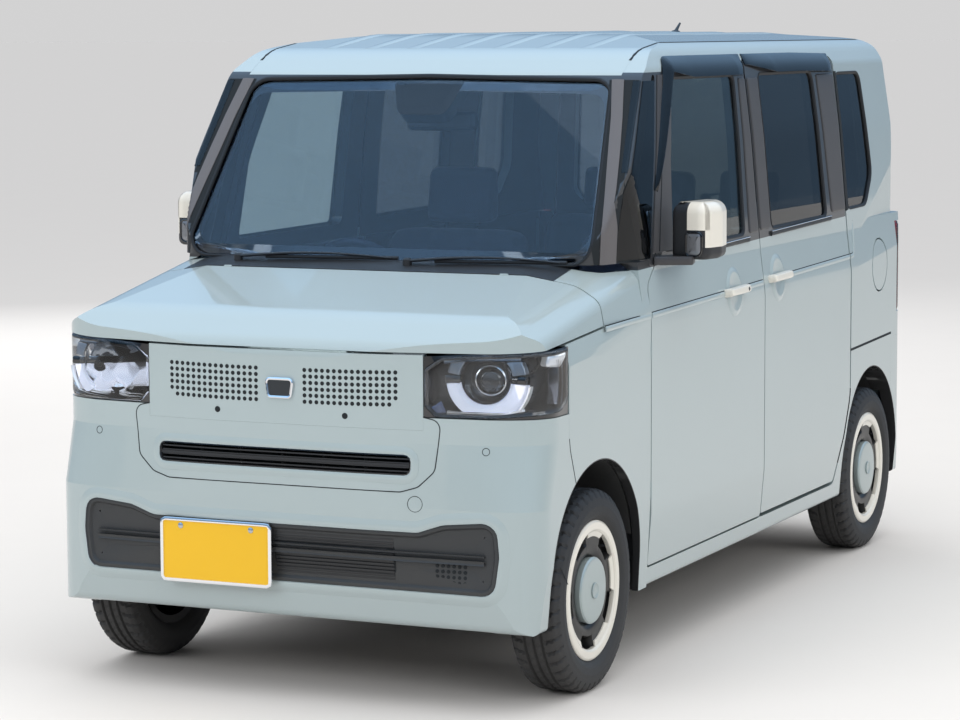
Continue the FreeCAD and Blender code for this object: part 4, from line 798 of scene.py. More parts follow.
inside = of(gloss_black,
            border([(OPENING, -.030), (OPENING, -.0022), (inset(LAMP, -.0012), -.0012), (inset(LAMP, .002), -.0080),
                    (inset(LAMP, .004), -.030)], CORNER),
            rim(LAMP, [(0, -.0085), (.001, -.0075), (.009, -.0085), (.014, -.030), (.012, -.086), (.002, -.086)],
                CORNER))
inside += of(lamp_grey, patch(inset(LAMP, .004), [(0, -.100), (0, -.086), (.012, -.078), (.030, -.070)], CORNER, 6))
inside += of(chrome, lamp_turned([(-.058, TIP), (-.056, .034), (-.034, .057), (-.006, .0630), (.000, .0650),
                                  (-.004, .0665), (-.034, .062), (-.066, .034), (-.068, TIP)], LAMP_MIDDLE, 64))
inside += of(lens_dark, lamp_turned([(-.040, TIP), (-.038, .036), (-.014, .0365), (-.002, .031), (.006, .020),
                                     (.009, TIP)]))
inside += of(dull_chrome, lamp_turned([(-.030, .0385), (-.004, .0400), (-.002, .0368), (-.030, .0360)]))
inside += of(gloss_black, lamp_turned([(-.034, .0240), (.0040, .0245), (.0055, .0225), (-.034, .0225)]))
inside += of(diffuse_white, arc_band(187, 353, .0665, .1080, LAMP_Z - .0850, 2))
inside += of(lamp_ghost, *(arc_band(start, stop, .0690, .1060, 0, LAMP_Z + .0480, -.010)
                           for start, stop in ((9, 40), (140, 171))))
# A thin band, a facet and a line at the lamp's foot in the reflector white, brightened by its painted glow
inside += of(glowing_reflector_white, arc_band(352, 318, .1130, .1175, 0, 2))
for side in (-1, 1):
    bar = LAMP_MIDDLE + np.array([side * .0870, .004 + LAMP_TURN * side * .0870, 0])
    section = ((-.016, -.0095), (.010, -.0095), (.012, -.0060), (.012, .0060), (.010, .0095), (-.016, .0095))
    inside += of(gloss_black, shell([[bar + (dx, -depth, rise) for depth, rise in section]
                                     for dx in (-.0205, -.0190, .0190, .0205)]))
for k in range(5):
    t = np.linspace(0, 1, 20)
    line = np.stack([LAMP_END - .070 + .013 * k + .008 * np.sin(3 * t), .822 + .118 * t], 1)
    inside += of(bronze if k % 2 else dull_chrome, strip(line, .0085, -.018 - .004 * k, CORNER, depth=.050))
facet = outline([(LAMP_END - .118, .9250, .006), (LAMP_END - .052, .9180, .02), (LAMP_END - .018, .9420, .006),
                 (LAMP_END - .014, .9540, .004), (LAMP_END - .112, .9500, .004)], 72)
inside += of(glowing_reflector_white, patch(facet, [(0, -.040), (0, -.012), (.004, -.010)], CORNER, fill=4))
facet = outline([(.4300, .8010, .002), (.4760, .8030, .002), (.4620, .8330, .003), (.4310, .8130, .002)], 60)
inside += of(lamp_blue, patch(facet, [(0, -.030), (0, -.0115), (.003, -.0100)], CORNER, fill=3))
FOOT_LINE = [[.478, .8035], [.560, .8010], [.640, .8065], [.690, .8140]]
BROW_LINE = [[.470, .938], [.520, .9455], [.600, .9480], [.680, .9480]]
inside += of(glowing_reflector_white, strip(FOOT_LINE, .0060, -.014, CORNER, depth=.040))
inside += of(lamp_ghost, strip(BROW_LINE, .012, -.016, CORNER, depth=.050))
piece("headlamp_insides", both(inside), "body", "lamp_front")

# ---------------------------------------------------------------- grille panel, intakes, front plate

rows, cols = np.meshgrid(np.arange(6), np.arange(16))
keep = ~((rows == 0) & (cols == 15))
place_x = (.073 + .0176 * cols)[keep]
place_z = (.8175 + .0170 * rows + .0035 * (cols / 15) ** 2)[keep]
holes = [patch(circle(x, z, .0058, 12), [(0, -.001), (0, .0003), (.0006, .0006)], FRONT, fill=2)
         for x, z in zip(np.concatenate([place_x, -place_x]), np.concatenate([place_z, place_z]))]
holes += [patch(circle(x, .785, .0085, 12), [(0, -.001), (0, .0004), (.001, .001)], FRONT, fill=2)
          for x in (.192, -.192)]
piece("grille_perforations", of(gap, *holes), "body", "grille_grey")
BADGE = outline([(-.034, .826, .010), (.034, .826, .010), (.042, .878, .012), (-.042, .878, .012)], 72)
piece("badge_place", of(garnish, patch(BADGE, [(0, -.001), (0, .004), (.004, .006)], FRONT)) + of(
    chrome, rim(BADGE, [(-.002, -.001), (-.002, .007), (.001, .009), (.005, .007), (.006, .001)], FRONT)),
      "body", "grille_grey")

UPPER = box(-.379, .634, .379, .689, .018, 160)
LOWER_SIDE = [(.613, .325, .04), (.627, .430, .06), (.619, .5215, .04), (.470, .508, .06), (.400, .484, .06)]
LOWER = outline([(-.613, .325, .04)] + LOWER_SIDE + [(-x, z, bend) for x, z, bend in LOWER_SIDE[:0:-1]], 220)


def fins(x0, x1, levels, depth, thick, height=-.004):
    """Level fins across an intake: slabs from x0 to x1 that stand back from the skin and dip to their rear."""
    x, back = np.linspace(x0, x1, 40), np.array([0, depth, -.006])
    made = []
    for level in levels:
        low, high = (above(FRONT, x, level + way * thick / 2, height) for way in (-1, 1))
        made.append(shell(np.stack([low, high, high + back, low + back], 1)))
    return made


intake = of(gloss_black, rim(UPPER, [(0, -.020), (0, -.001), (.003, -.0005), (.006, -.006), (.008, -.028),
                                     (.004, -.028)], FRONT))
intake += of(gap, patch(inset(UPPER, .004), [(0, -.052), (0, -.046)], FRONT, fill=2))
intake += of(trim, *fins(-.373, .373, (.6445, .6555, .6665, .6775), .026, .0035),
             *fins(-.374, .374, (.661,), .020, .0065, -.002),
             *(strip([[x, .636], [x, .687]], .0035, -.010, FRONT, depth=.030, count=4)
               for x in (-.248, -.124, 0, .124, .248)))
piece("upper_intake", intake, "body", "grille_grey", ["grilles"])

lower = of(garnish,
           rim(LOWER, [(0, -.022), (0, -.0006), (.004, .0004), (.010, -.001), (.016, -.009), (.016, -.022)], FRONT),
           rim(inset(LOWER, .0155), [(0, -.022), (0, -.0085), (.020, -.0105), (.045, -.0125), (.045, -.022)], FRONT),
           rim(inset(LOWER, .055), [(0, -.022), (0, -.0120), (.010, -.0125), (.010, -.022)], FRONT),
           patch(inset(LOWER, .058), [(0, -.0235), (0, -.0130), (.004, -.0125)], FRONT, fill=3))
LOUVRES = box(-.030, .345, .330, .468, .012, 120)
lower += of(gap, patch(LOUVRES, [(0, -.0128), (0, -.0118), (.002, -.0112)], FRONT, fill=2))
lower += of(trim, *fins(-.026, .326, np.linspace(.352, .461, 12), .004, .0034, -.0085))
lower += of(garnish, *(strip([[-.585, z], [.0, z + .0005], [.585, z]], width, height, FRONT, depth=.014, count=60)
                       for z, width, height in ((.4115, .012, -.0030), (.4290, .006, -.0045))))
grid_x, grid_z = np.meshgrid(.450 + .0158 * np.arange(6), .340 + .0145 * np.arange(5))
lower += of(gap, *(patch(circle(x, z, .0050, 12), [(0, -.016), (0, -.0108), (.0005, -.0104)], FRONT, fill=2)
                   for x, z in zip(grid_x.ravel(), grid_z.ravel())))
piece("lower_garnish", lower, "body", "grille_grey")
flanges = [rim(LOWER, [(-.030, -.001), (-.030, .0002), (-.018, .0030), (-.006, .0048), (-.001, .0030), (.0005, -.003),
                       (-.002, -.005)], FRONT),
           rim(UPPER, [(-.022, -.001), (-.022, .0002), (-.012, .0026), (-.004, .0036), (-.0005, .0020), (.0005, -.003),
                       (-.002, -.005)], FRONT)]
piece("intake_flanges", of(paint, *flanges), "body", "body_paint", smooth=50)


def plate_parts(x, low, high, y, out, frame=True):
    """A blank plate: a rounded sheet with a raised rolled edge, a bright frame round it and two bolts."""
    edge, skin = box(x - .165, low, x + .165, high, .008), upright(y, out)
    bolt = [(-.001, TIP), (-.001, .0085), (.002, .008), (.0045, .004), (.005, TIP)]
    sheet = [(0, -.0015), (0, .0005), (.0015, .0018), (.004, .0018), (.0055, .0006)]
    made = of(plate_yellow, patch(edge, sheet, skin, fill=3))
    if frame:
        made += of(chrome, rim(edge, [(-.006, -.002), (-.006, .003), (-.003, .0045), (.003, .004), (.004, .0015),
                                      (.002, -.002)], skin))
    return made + of(dull_chrome, *(turned(bolt, (at, y, high - .016), (0, out, 0), 18) for at in (x - .108, x + .108)))


piece("front_plate_blank", plate_parts(-.198, .313, .478, NOSE + .0035, -1), "body", "plate_yellow", ["front_plate"])

# Seams, sensors and the tow cover of the front
SURROUND = [(-.413, .790), (-.462, .780), (-.446, .648), (-.400, .605), (-.350, .590), (.350, .590), (.400, .605),
            (.446, .648), (.462, .780), (.413, .790)]
seams = of(gap, strip(rounded([(u, v, .03) for u, v in SURROUND]), .0028, .0005, FRONT, count=160))
fender_line = rounded([(-1.4440, .722, 0), (-1.4380, .690, .05), (-1.4000, .5975, 0)])
seams += both(of(gap, strip(fender_line, .003, .0005, SIDE)))
seams += both(of(gap, strip([(-1.500, .385), (-1.440, .330)], .0022, .0004, SIDE, count=12)))
seams += of(gap, rim(circle(.392, .560, .0215, 48), [(0, -.001), (0, .0004), (.0012, .0005), (.0018, -.001)], FRONT),
            *(rim(circle(x, .705, .0105, 48), [(0, -.001), (0, .0006), (.0015, .0007), (.002, -.001)], FRONT)
              for x in (.585, -.585)))
piece("front_seams", seams, "body", "grille_grey")

# ---------------------------------------------------------------- windscreen, cowl and wipers


def screen_edge(foot, head, low, high, radius):
    """A line round the windscreen: as far from the sides at its foot and head, and 10 mm higher in its middle."""
    return outline([(foot - HALF, low, radius), (HALF - foot, low, radius), (HALF - head, high, radius),
                    (0, high + .010, 0), (head - HALF, high, radius)], 200)


GLASS_EDGE = screen_edge(.096, .160, BELT - .002, TOP - .134, .06)
CLEAR_EDGE = screen_edge(.112, .172, BELT + .038, TOP - .170, .05)
piece("windscreen_surround", of(
    screen_black, border([(GLASS_EDGE, -.0123), (CLEAR_EDGE, -.0123), (CLEAR_EDGE, -.0128), (GLASS_EDGE, -.0128)],
                         SCREEN)) + of(
    rubber, rim(GLASS_EDGE, [(-.0045, -.006), (-.0045, .0015), (.000, .0025), (.004, -.001), (.004, -.0065)], SCREEN)),
      "body", "trim_black")
HOUSING = outline([(-.120, 1.668, .02), (-.075, 1.560, .03), (.075, 1.560, .03), (.120, 1.668, .02)], 72)
piece("camera_housing", of(trim, patch(HOUSING, [(0, -.060), (0, -.0125), (.004, -.0122)], SCREEN, fill=3)) + of(
    garnish, patch(inset(HOUSING, .024), [(0, -.0123), (0, -.0118)], SCREEN, fill=2)), "body", "trim_black")
mirror_edge = panel([(-.115, 1.500), (.115, 1.500), (.112, 1.560), (-.112, 1.560)], .02, 64)
mirror_plane = upright(-.640, 1)
piece("inner_mirror",
      of(trim, patch(mirror_edge, [(.012, -.030), (.002, -.020), (0, -.002), (.003, 0)], mirror_plane))
      + of(chrome, patch(inset(mirror_edge, .006), [(0, -.001), (0, .0008)], mirror_plane, fill=3))
      + of(trim, tube([(0, -.668, 1.540), (0, -.690, 1.590), (0, -.712, 1.625)], .008)), "body", "trim_black")


def wiper(root, tip):
    """An arm from its pivot to the blade's middle, and a blade with a rubber lip along the glass's foot."""
    root, tip = np.array(root, float), np.array(tip, float)
    t = np.linspace(0, 1, 24)[:, None]
    arm = root + (tip - root) * t + np.array([0, 0, .012]) * np.sin(math.pi * t)
    blade = root + (tip - root) * (.18 + .86 * t) + np.array([0, .004, .000])
    return [tube(arm, np.linspace(.009, .0045, 24), 10, .55), tube(blade, .0050, 8, 1.1),
            turned([(-.020, TIP), (-.020, .013), (.004, .013), (.008, .009), (.009, TIP)], root, (0, 0, 1), 20)]


wipers = wiper((-.430, -1.126, BELT + .004), (.045, -1.095, BELT + .008))
wipers += wiper((.110, -1.126, BELT + .004), (.560, -1.090, BELT + .008))
piece("wiper_arms", of(trim, *wipers), "body", "trim_black", ["wipers"])

# ---------------------------------------------------------------- sides: sashes, visors, handles, creases

POST_TOP, PILLAR_TOP, VISOR_TOP = 1.648, 1.655, 1.720
FRONT_WINDOW = outline([(DOOR_FRONT + .156, BELT + .016, .02), (DOOR_SPLIT - .130, BELT + .020, .025),
                        (DOOR_SPLIT - .100, WINDOW_TOP, .025), (DOOR_FRONT + .336, WINDOW_TOP, .04),
                        (DOOR_FRONT + .196, 1.400, .09)], 160)
SLIDE_WINDOW = outline([(DOOR_SPLIT + .125, BELT + .024, .025), (SLIDE_REAR - .205, BELT + .030, .025),
                        (SLIDE_REAR - .232, WINDOW_TOP, .04), (DOOR_SPLIT + .122, WINDOW_TOP, .025)], 160)
QUARTER = outline([(SLIDE_REAR + .030, BELT + .040, .025), (SLIDE_REAR + .235, BELT + .044, .07),
                   (SLIDE_REAR + .330, 1.300, .08), (SLIDE_REAR + .285, WINDOW_TOP - .010, .045),
                   (SLIDE_REAR + .020, WINDOW_TOP - .010, .025)], 160)
VENT_FRONT = [(-.9630, 1.157), (-.9530, 1.250), (-.9300, 1.350), (-.8650, 1.450), (-.7380, 1.652)]
VENT_REAR = [(-.8095, 1.157), (-.6490, 1.652)]
STRIP_IN = [(.6510, 1.150), (.6540, 1.250), (.6370, 1.350), (.6190, 1.450), (.6020, 1.550), (.5770, PILLAR_TOP)]
STRIP_OUT = [(.6740, 1.150), (.6760, 1.250), (.6700, 1.350), (.6550, 1.450), (.6370, 1.550), (.6140, PILLAR_TOP)]
SEAL = [(-.003, -.006), (-.003, .0012), (.000, .0018), (.006, -.0015), (.007, -.0066), (.002, -.0068)]
POST = [(0, -.001), (0, .0012), (.002, .0030), (.006, .0036)]


def visor(path, wide, narrow):
    """A smoked visor: from the frame's edge it swells out by a quarter sine and ends in a thin lip over the glass.
    It narrows along the path, and its ends taper."""
    line = evenly(rounded(path, 9), 96, closed=False)
    share = np.linspace(0, 1, 11)
    width = np.interp(np.linspace(0, 1, 96), [0, .45, .70, 1], [wide, wide, narrow, narrow * .55])
    place = line[:, None] + left_of(line)[:, None] * (width[:, None] * share[None, :])[..., None]
    taper = np.clip(np.minimum(np.arange(96) * 3, 95 - np.arange(96)) / 24, 0, 1)[:, None] ** .5
    lift = .0025 + (.018 * np.sin(share * math.pi / 2) ** .8)[None, :] * taper
    u, v = np.moveaxis(place, -1, 0)
    return slab(above(SIDE, u, v, lift), above(SIDE, u, v, lift - .0024))


def belt_strip(y0, y1):
    """A black strip under the glass with a bright line along its top."""
    line = [(y, 1.1545 + BELT_SLOPE * y) for y in (y0, y1)]
    return of(trim, strip(line, .0155, .0065, SIDE, depth=.003)) + of(
        chrome, strip([(y, z + .0065) for y, z in line], .0035, .0078, SIDE))


def handle(y, z, keyed):
    """A pull: a bar bowed out from two feet over a round dish whose lip stands 4.6 mm over the panel."""
    bar = panel([(y - .088, z - .012), (y + .088, z - .010), (y + .088, z + .016), (y - .088, z + .013)], .011)
    dish = [(-.014, -.001), (-.014, .0003), (-.007, .0026), (-.001, .0046), (.004, .0042), (.018, .0012), (.034, .0004)]
    made = of(paint, patch(circle(y, z, .056, 72, .060), dish, SIDE, fill=3))
    made += of(cream, patch(bar, [(0, .004), (0, .018), (.003, .024), (.007, .026)], SIDE, fill=4))
    for foot in (y - .078, y + .078):
        base = box(foot - .012, z - .012, foot + .012, z + .013, .009, 32)
        made += of(cream, patch(base, [(0, -.002), (0, .008), (.003, .014)], SIDE, fill=3))
    if keyed:
        key = circle(y + .063, z + .001, .006, 72)
        made += of(trim, patch(key, [(0, .020), (0, .0265), (.001, .027)], SIDE, fill=2))
    return made


def waist(y):
    """The height of the crease along the side."""
    return .998 + .0190 * (y + 1.194)


def crease(line):
    """A thin shadow line over a low rounded ridge in paint."""
    return of(gap, strip(line, .0038, .0007, SIDE, count=60)) + of(
        paint, strip(np.asarray(line) - (0, .0085), .0150, .0026, SIDE, count=60))


def level_crease(y0, y1):
    """A straight run of the crease between two places along the car."""
    return crease([(y, waist(y)) for y in (y0, y1)])


door_posts = [panel([(DOOR_SPLIT - .088, 1.172), (DOOR_SPLIT - .009, 1.172), (DOOR_SPLIT - .009, POST_TOP),
                     (DOOR_SPLIT - .066, POST_TOP)], .006)]
body_posts = [box(DOOR_SPLIT + .014, 1.176, DOOR_SPLIT + .112, POST_TOP, .006),
              panel([(SLIDE_REAR - .155, 1.190), (SLIDE_REAR - .008, 1.190), (SLIDE_REAR - .012, POST_TOP),
                     (SLIDE_REAR - .195, POST_TOP)], .006)]
lead = plate([(DOOR_FRONT + .060, 1.168), (DOOR_FRONT + .224, 1.668)],
             [(DOOR_FRONT + .218, 1.168), (DOOR_FRONT + .258, 1.420), (DOOR_FRONT + .335, 1.668)], .0022, SIDE,
             depth=.004, crown=.0012)
lead_groove = strip([(DOOR_FRONT + .108, 1.170), (DOOR_FRONT + .262, 1.666)], .0060, .0045, SIDE)
door_visor = visor([(DOOR_SPLIT - .012, VISOR_TOP, 0), (DOOR_FRONT + .290, VISOR_TOP, .05),
                    (DOOR_FRONT + .112, 1.345, 0)], .064, .036)
slide_visor = visor([(SLIDE_REAR - .035, 1.714, 0), (DOOR_SPLIT + .5, VISOR_TOP, .3),
                     (DOOR_SPLIT + .012, VISOR_TOP, 0)], .060, .060)
black = [plate([(.6400, 1.150), (.5700, PILLAR_TOP)], [(.7060, 1.150), (.6600, PILLAR_TOP)], .0010, SCREEN),
         plate([(-1.0120, 1.154), (-.9560, 1.245)], [(-.9620, 1.154), (-.9510, 1.245)], .0016, SIDE),
         plate([(1.0345, 1.186), (1.0345, PILLAR_TOP)], [(1.0620, 1.190), (1.0540, PILLAR_TOP)], .0016, SIDE)]
vent_panes = [plate(VENT_FRONT, VENT_REAR, .0020, SIDE, depth=.0006, columns=12),
              plate([(.6720, 1.400), (.6420, 1.652)], [(.6900, 1.400), (.6650, 1.652)], .0022, SCREEN)]
side_grooves = crease(rounded([(.352, waist(.352), 0), (.900, waist(.900), .3), (1.026, waist(1.026), 0)]))
side_grooves += crease(rounded([(1.036, waist(1.036), 0), (1.075, waist(1.075), .03), (1.098, 1.150, 0)], 12))
side_grooves += of(gap, strip([(1.034, .7155), (1.5215, .7285)], .0085, .0006, SIDE))


def both_sides(rows):
    """Pieces made on the left and mirrored on the right. A row is name, parts, door or body, slot, and the CAD
    node that it stands for, if any."""
    for side in ("left", "right"):
        for name, parts, carrier, slot, *stands_for in rows:
            piece(name + side, parts if side == "left" else [flip(part) for part in parts],
                  "door_" + side if carrier == "door" else carrier, slot, [cad + side for cad in stands_for])


both_sides([
    ("door_window_seal_", of(rubber, rim(FRONT_WINDOW, SEAL, SIDE)), "door", "trim_black"),
    ("body_window_seals_", of(rubber, rim(SLIDE_WINDOW, SEAL, SIDE), rim(QUARTER, SEAL, SIDE)), "body", "trim_black"),
    ("door_belt_", belt_strip(DOOR_FRONT + .155, DOOR_SPLIT - .100), "door", "trim_black"),
    ("slide_belt_", belt_strip(DOOR_SPLIT + .110, SLIDE_REAR - .175), "body", "trim_black"),
    ("door_visor_", of(visor_smoke, door_visor), "door", "glass_dark"),
    ("slide_visor_", of(visor_smoke, slide_visor), "body", "glass_dark"),
    ("door_pillar_cover_", of(sash, *(patch(q, POST, SIDE) for q in door_posts), lead) + of(gap, lead_groove), "door",
     "trim_black"),
    ("body_pillar_covers_", of(sash, *(patch(q, POST, SIDE) for q in body_posts)), "body", "trim_black"),
    ("screen_pillar_cover_", of(gap, *black) + of(pillar_strip, plate(STRIP_IN, STRIP_OUT, .0030, SCREEN, crown=.0015)),
     "body", "trim_black"),
    ("vent_pane_", of(smoke_glass, *vent_panes), "body", "glass_dark"),
    ("handle_door_", handle(-.140, 1.008, True), "door", "mirror_cap"),
    ("handle_body_", handle(.270, 1.020, False), "body", "mirror_cap"),
    ("crease_0_", level_crease(-1.190, DOOR_FRONT - .008), "body", "body_paint"),
    ("crease_1_", level_crease(DOOR_FRONT + .008, -.218), "door", "body_paint"),
    ("crease_2_", level_crease(-.070, DOOR_SPLIT - .006), "door", "body_paint"),
    ("side_grooves_", side_grooves, "body", "trim_black"),
])

# Mirrors, folded back: cream cap over a black housing, a small aid mirror forward, the glass towards the door
MIRROR_PLAN = outline([(HALF + .010, DOOR_FRONT + .124, .012), (HALF + .122, DOOR_FRONT + .110, .030),
                       (HALF + .138, DOOR_FRONT + .195, .06), (HALF + .118, DOOR_FRONT + .300, .04),
                       (HALF + .040, DOOR_FRONT + .298, .02)], 144, 12)
MIRROR_LOW, MIRROR_HIGH, CROWN, FOOT_CURVE = BELT - .002, BELT + .160, .034, .018


def level_ring(points, z):
    """A plan's outline (x, y) at a height."""
    return np.column_stack([points, np.full(len(points), z)])


def mirror_shell(z, grow):
    """Rings of the housing at heights z: the plan outline drawn in by a quarter circle at the top and the foot."""
    rings = []
    for level in z:
        top = min(1.0, max(0.0, (level - MIRROR_HIGH + CROWN) / CROWN))
        foot = min(1.0, max(0.0, (MIRROR_LOW + FOOT_CURVE - level) / FOOT_CURVE))
        shrink = CROWN * (1 - math.sqrt(1 - top ** 2)) + FOOT_CURVE * (1 - math.sqrt(1 - foot ** 2)) - grow
        rings.append(level_ring(inset(MIRROR_PLAN, shrink), level + grow * top))
    return np.array(rings)


def mirror_levels(low):
    """Heights from low to the top, close together where the crown turns."""
    crown = MIRROR_HIGH - CROWN + CROWN * np.sin(np.linspace(0, math.pi / 2, 10))
    return np.unique(np.concatenate([np.linspace(low, MIRROR_HIGH - CROWN, 8), crown]).clip(low, MIRROR_HIGH))


def cap_part(columns, low):
    """A plate of the cap over some columns of the housing, from a height to its top."""
    z = mirror_levels(low)
    return slab(mirror_shell(z, .0014)[:, columns], mirror_shell(z, -.0010)[:, columns])


foot_levels = MIRROR_LOW + FOOT_CURVE * (1 - np.cos(np.linspace(0, math.pi / 2, 6)))
body_levels = np.unique(np.concatenate([foot_levels, mirror_levels(MIRROR_LOW + FOOT_CURVE)]))
plan_x, plan_y = MIRROR_PLAN.T
front_face = np.flatnonzero((plan_y < DOOR_FRONT + .130) & (plan_x > HALF + .060))
outer_face = np.arange(front_face[-1] - 4, int(np.argmax(np.where(plan_x > HALF + .05, plan_y, -9))) + 6)
top_edge = mirror_shell([MIRROR_HIGH - .001], -.001)[0, :, :2]
ARM = outline([(.7195, DOOR_FRONT + .056, .004), (HALF + .085, DOOR_FRONT + .104, .012),
               (HALF + .060, DOOR_FRONT + .190, .01), (.7195, DOOR_FRONT + .150, .004)], 80, 8)
ARM_LEVELS = ((.003, 1.1340), (.0008, 1.1355), (0, 1.138), (0, 1.154), (.0008, 1.1565), (.003, 1.158))
end_face = (lambda u, v: np.stack([u, DOOR_FRONT + .124 - .125 * (u - HALF - .010) + 0 * v, v], -1), (0, -1, 0))
AID = outline([(HALF + .060, BELT + .010, .010), (HALF + .106, BELT + .010, .016), (HALF + .106, BELT + .074, .010),
               (HALF + .060, BELT + .074, .010)], 72)
glass_face = (lambda u, v: np.stack([HALF + .0095 + .172 * np.clip(u - DOOR_FRONT - .124, 0, 1) + 0 * v, u, v], -1),
              (-1, 0, 0))
PANE = outline([(DOOR_FRONT + .136, BELT + .014, .02), (DOOR_FRONT + .284, BELT + .016, .03),
                (DOOR_FRONT + .282, BELT + .138, .03), (DOOR_FRONT + .138, BELT + .140, .03)], 100)
mirror = of(trim, shell(mirror_shell(body_levels, 0)))
mirror += of(cream, cap_part(front_face, BELT + .082), cap_part(outer_face, BELT + .033),
             shell([level_ring(top_edge, z) for z in (MIRROR_HIGH - .002, MIRROR_HIGH + .0014)]))
mirror += of(sash, shell([level_ring(inset(ARM, shrink), z) for shrink, z in ARM_LEVELS]))
mirror += of(gloss_black, rim(AID, [(-.005, -.002), (-.005, .0020), (-.002, .0038), (.0015, .0030), (.0015, -.002)],
                              end_face))
mirror += of(aid_mirror, patch(inset(AID, .0015), [(0, -.002), (0, .0012), (.004, .0026), (.012, .0034)], end_face))
mirror += of(chrome, patch(PANE, [(0, -.003), (0, .0006), (.002, .0012)], glass_face, fill=3))
both_sides([("door_mirror_", mirror, "door", "mirror_cap", "mirror_")])

# ---------------------------------------------------------------- roof: ribs and antenna

ribs, y = [], np.linspace(-.56, 1.44, 60)[:, None]
fade = np.clip(np.minimum(y + .56, 1.44 - y) / .12, 0, 1) ** .7
for x in (-.42, -.28, -.14, 0, .14, .28, .42):
    gx = x + ACROSS_BAND[None, :] * .020
    lift = np.array([0, .75, 1, .75, 0]) * .0036 * fade + .0002
    ribs.append(slab(above(ROOF, gx, y, lift), above(ROOF, gx, y, -.002)))
piece("roof_ribs", of(paint, *ribs), "body", "body_paint")
ditch = strip([[.598, -.66], [.598, 1.50]], .009, .0008, ROOF, count=60)
piece("roof_ditches", both(of(gap, ditch)), "body", "trim_black")
BASE_Y = 1.30
base = turned([(-.004, TIP), (-.004, .032), (.004, .031), (.012, .022), (.020, .013), (.024, TIP)],
              (.0, BASE_Y, 1.772), (0, 0, 1), 40)
mast = tube([(0, BASE_Y, 1.788), (0, BASE_Y + .020, 1.802), (0, BASE_Y + .045, 1.818)], [.0075, .005, .0035], 12,
            ref=(1, 0, 0))
piece("antenna", of(trim, base, mast), "body", "trim_black")

# ---------------------------------------------------------------- tail: lamps, plate, handle, wiper, spoiler


def lamp_skin(s, z, lift):
    """The rear corner: s goes from the tail's face (0) round to the side (1)."""
    x_face = .5975 + .112 * np.clip(s * 2, 0, 1)
    y_side = TAIL - .030 - .076 * np.clip(s * 2 - 1, 0, 1)
    x = np.where(s < .5, x_face, np.interp(y_side, REAR_PLAN[:, 1], REAR_PLAN[:, 0]))
    y = np.where(s < .5, np.interp(-x_face, -REAR_PLAN[:, 0], REAR_PLAN[:, 1]), y_side)
    y = np.minimum(y, TAIL - .036 * np.clip((z - .9) / .25, 0, 1))
    x = np.minimum(x, np.interp(z, LOW_SECTION[:, 1], LOW_SECTION[:, 0]))
    return np.stack([x, y, z + 0 * x], -1) + np.asarray(lift)[..., None] * np.array([1, 1, 0]) / math.sqrt(2)


s, z = np.linspace(0, 1, 26), np.linspace(.802, 1.118, 24)
grid_s, grid_z = np.meshgrid(s, z)
edge = np.minimum(np.minimum(grid_s, 1 - grid_s) * 8, np.minimum(grid_z - z[0], z[-1] - grid_z) / .012)
lift = -.004 * (1 - np.clip(edge, 0, 1)) ** 2 - .0005


def lamp_slab(high, low, s=grid_s, z=grid_z):
    """A slab over the rear corner between two lifts."""
    return slab(lamp_skin(s, z, high), lamp_skin(s, z, low))


piece("tail_lamp_lenses", both(of(lens_red, lamp_slab(lift, lift - .005))), "body", "lamp_rear", ["tail_lamps"])
backs = of(lamp_grey, lamp_slab(lift - .030, lift - .060))
for level in (.860, .955, 1.050):
    bs, bz = np.meshgrid(s[2:-3], np.linspace(level - .030, level + .030, 8))
    bulge = .010 * np.cos((bz - level) / .030 * math.pi / 2)
    backs += of(chrome, lamp_slab(bulge - .028, -.034, bs, bz))
piece("tail_lamp_reflectors", both(backs), "body", "lamp_rear")

GATE = "tailgate_lid"
recess = patch(box(-.200, .770, .200, .960, .03, 120), [(0, -.001), (0, .0015), (.006, .002), (.012, -.0006)], REAR,
               fill=4)
piece("gate_plate_recess", of(paint_gate, recess), GATE, "body_paint")
piece("rear_plate_blank", plate_parts(0, .785, .950, TAIL + .0042, 1, frame=False), GATE, "plate_yellow")
bar = outline([(-.260, .972, .012), (.260, .972, .012), (.260, 1.008, .016), (-.260, 1.008, .016)], 120)
piece("gate_handle_bar", of(dull_chrome, patch(bar, [(0, -.001), (0, .012), (.004, .018), (.010, .019)], REAR, fill=3)),
      GATE, "trim_black")
REAR_GLASS = panel([(-.520, BELT + .006), (.520, BELT + .006), (.485, WINDOW_TOP), (-.485, WINDOW_TOP)], .06, 160)
piece("gate_window_seal", of(rubber, rim(REAR_GLASS, SEAL, REAR)), GATE, "trim_black")
blade = above(REAR, np.linspace(-.02, .30, 24), np.linspace(1.190, 1.215, 24), .014)
pivot = above(REAR, [-.02], [1.180], .004)[0]
knob = [(-.006, TIP), (-.006, .020), (.010, .018), (.016, .010), (.018, TIP)]
piece("gate_wiper", of(trim, tube(blade, np.linspace(.009, .005, 24), 10, .6), turned(knob, pivot, (0, 1, .1), 24)),
      GATE, "trim_black")
brow = [above(REAR, np.linspace(-.530, .530, 60), height, out)
        for height, out in ((1.706, .001), (1.672, .030), (1.664, .026), (1.676, .001))]
piece("gate_spoiler", of(paint, shell(np.stack(brow, 1))), GATE, "body_paint", smooth=50)
stop = above(REAR, np.linspace(-.11, .11, 20), 1.668, .0285)
piece("gate_stop_lamp", of(lens_red, tube(stop, .0042, 10, .8)), GATE, "lamp_rear")
reflector = patch(box(.560, .470, .660, .498, .010, 60), [(0, -.001), (0, .003), (.003, .005)], REAR)
piece("bumper_reflectors", both(of(lens_red, reflector)), "body", "lamp_rear")

# ---------------------------------------------------------------- cabin: dashboard, steering wheel, seats


def across_car(points, x):
    """A side outline (y, z) at a place across the car."""
    return np.column_stack([np.full(len(points), x), points])


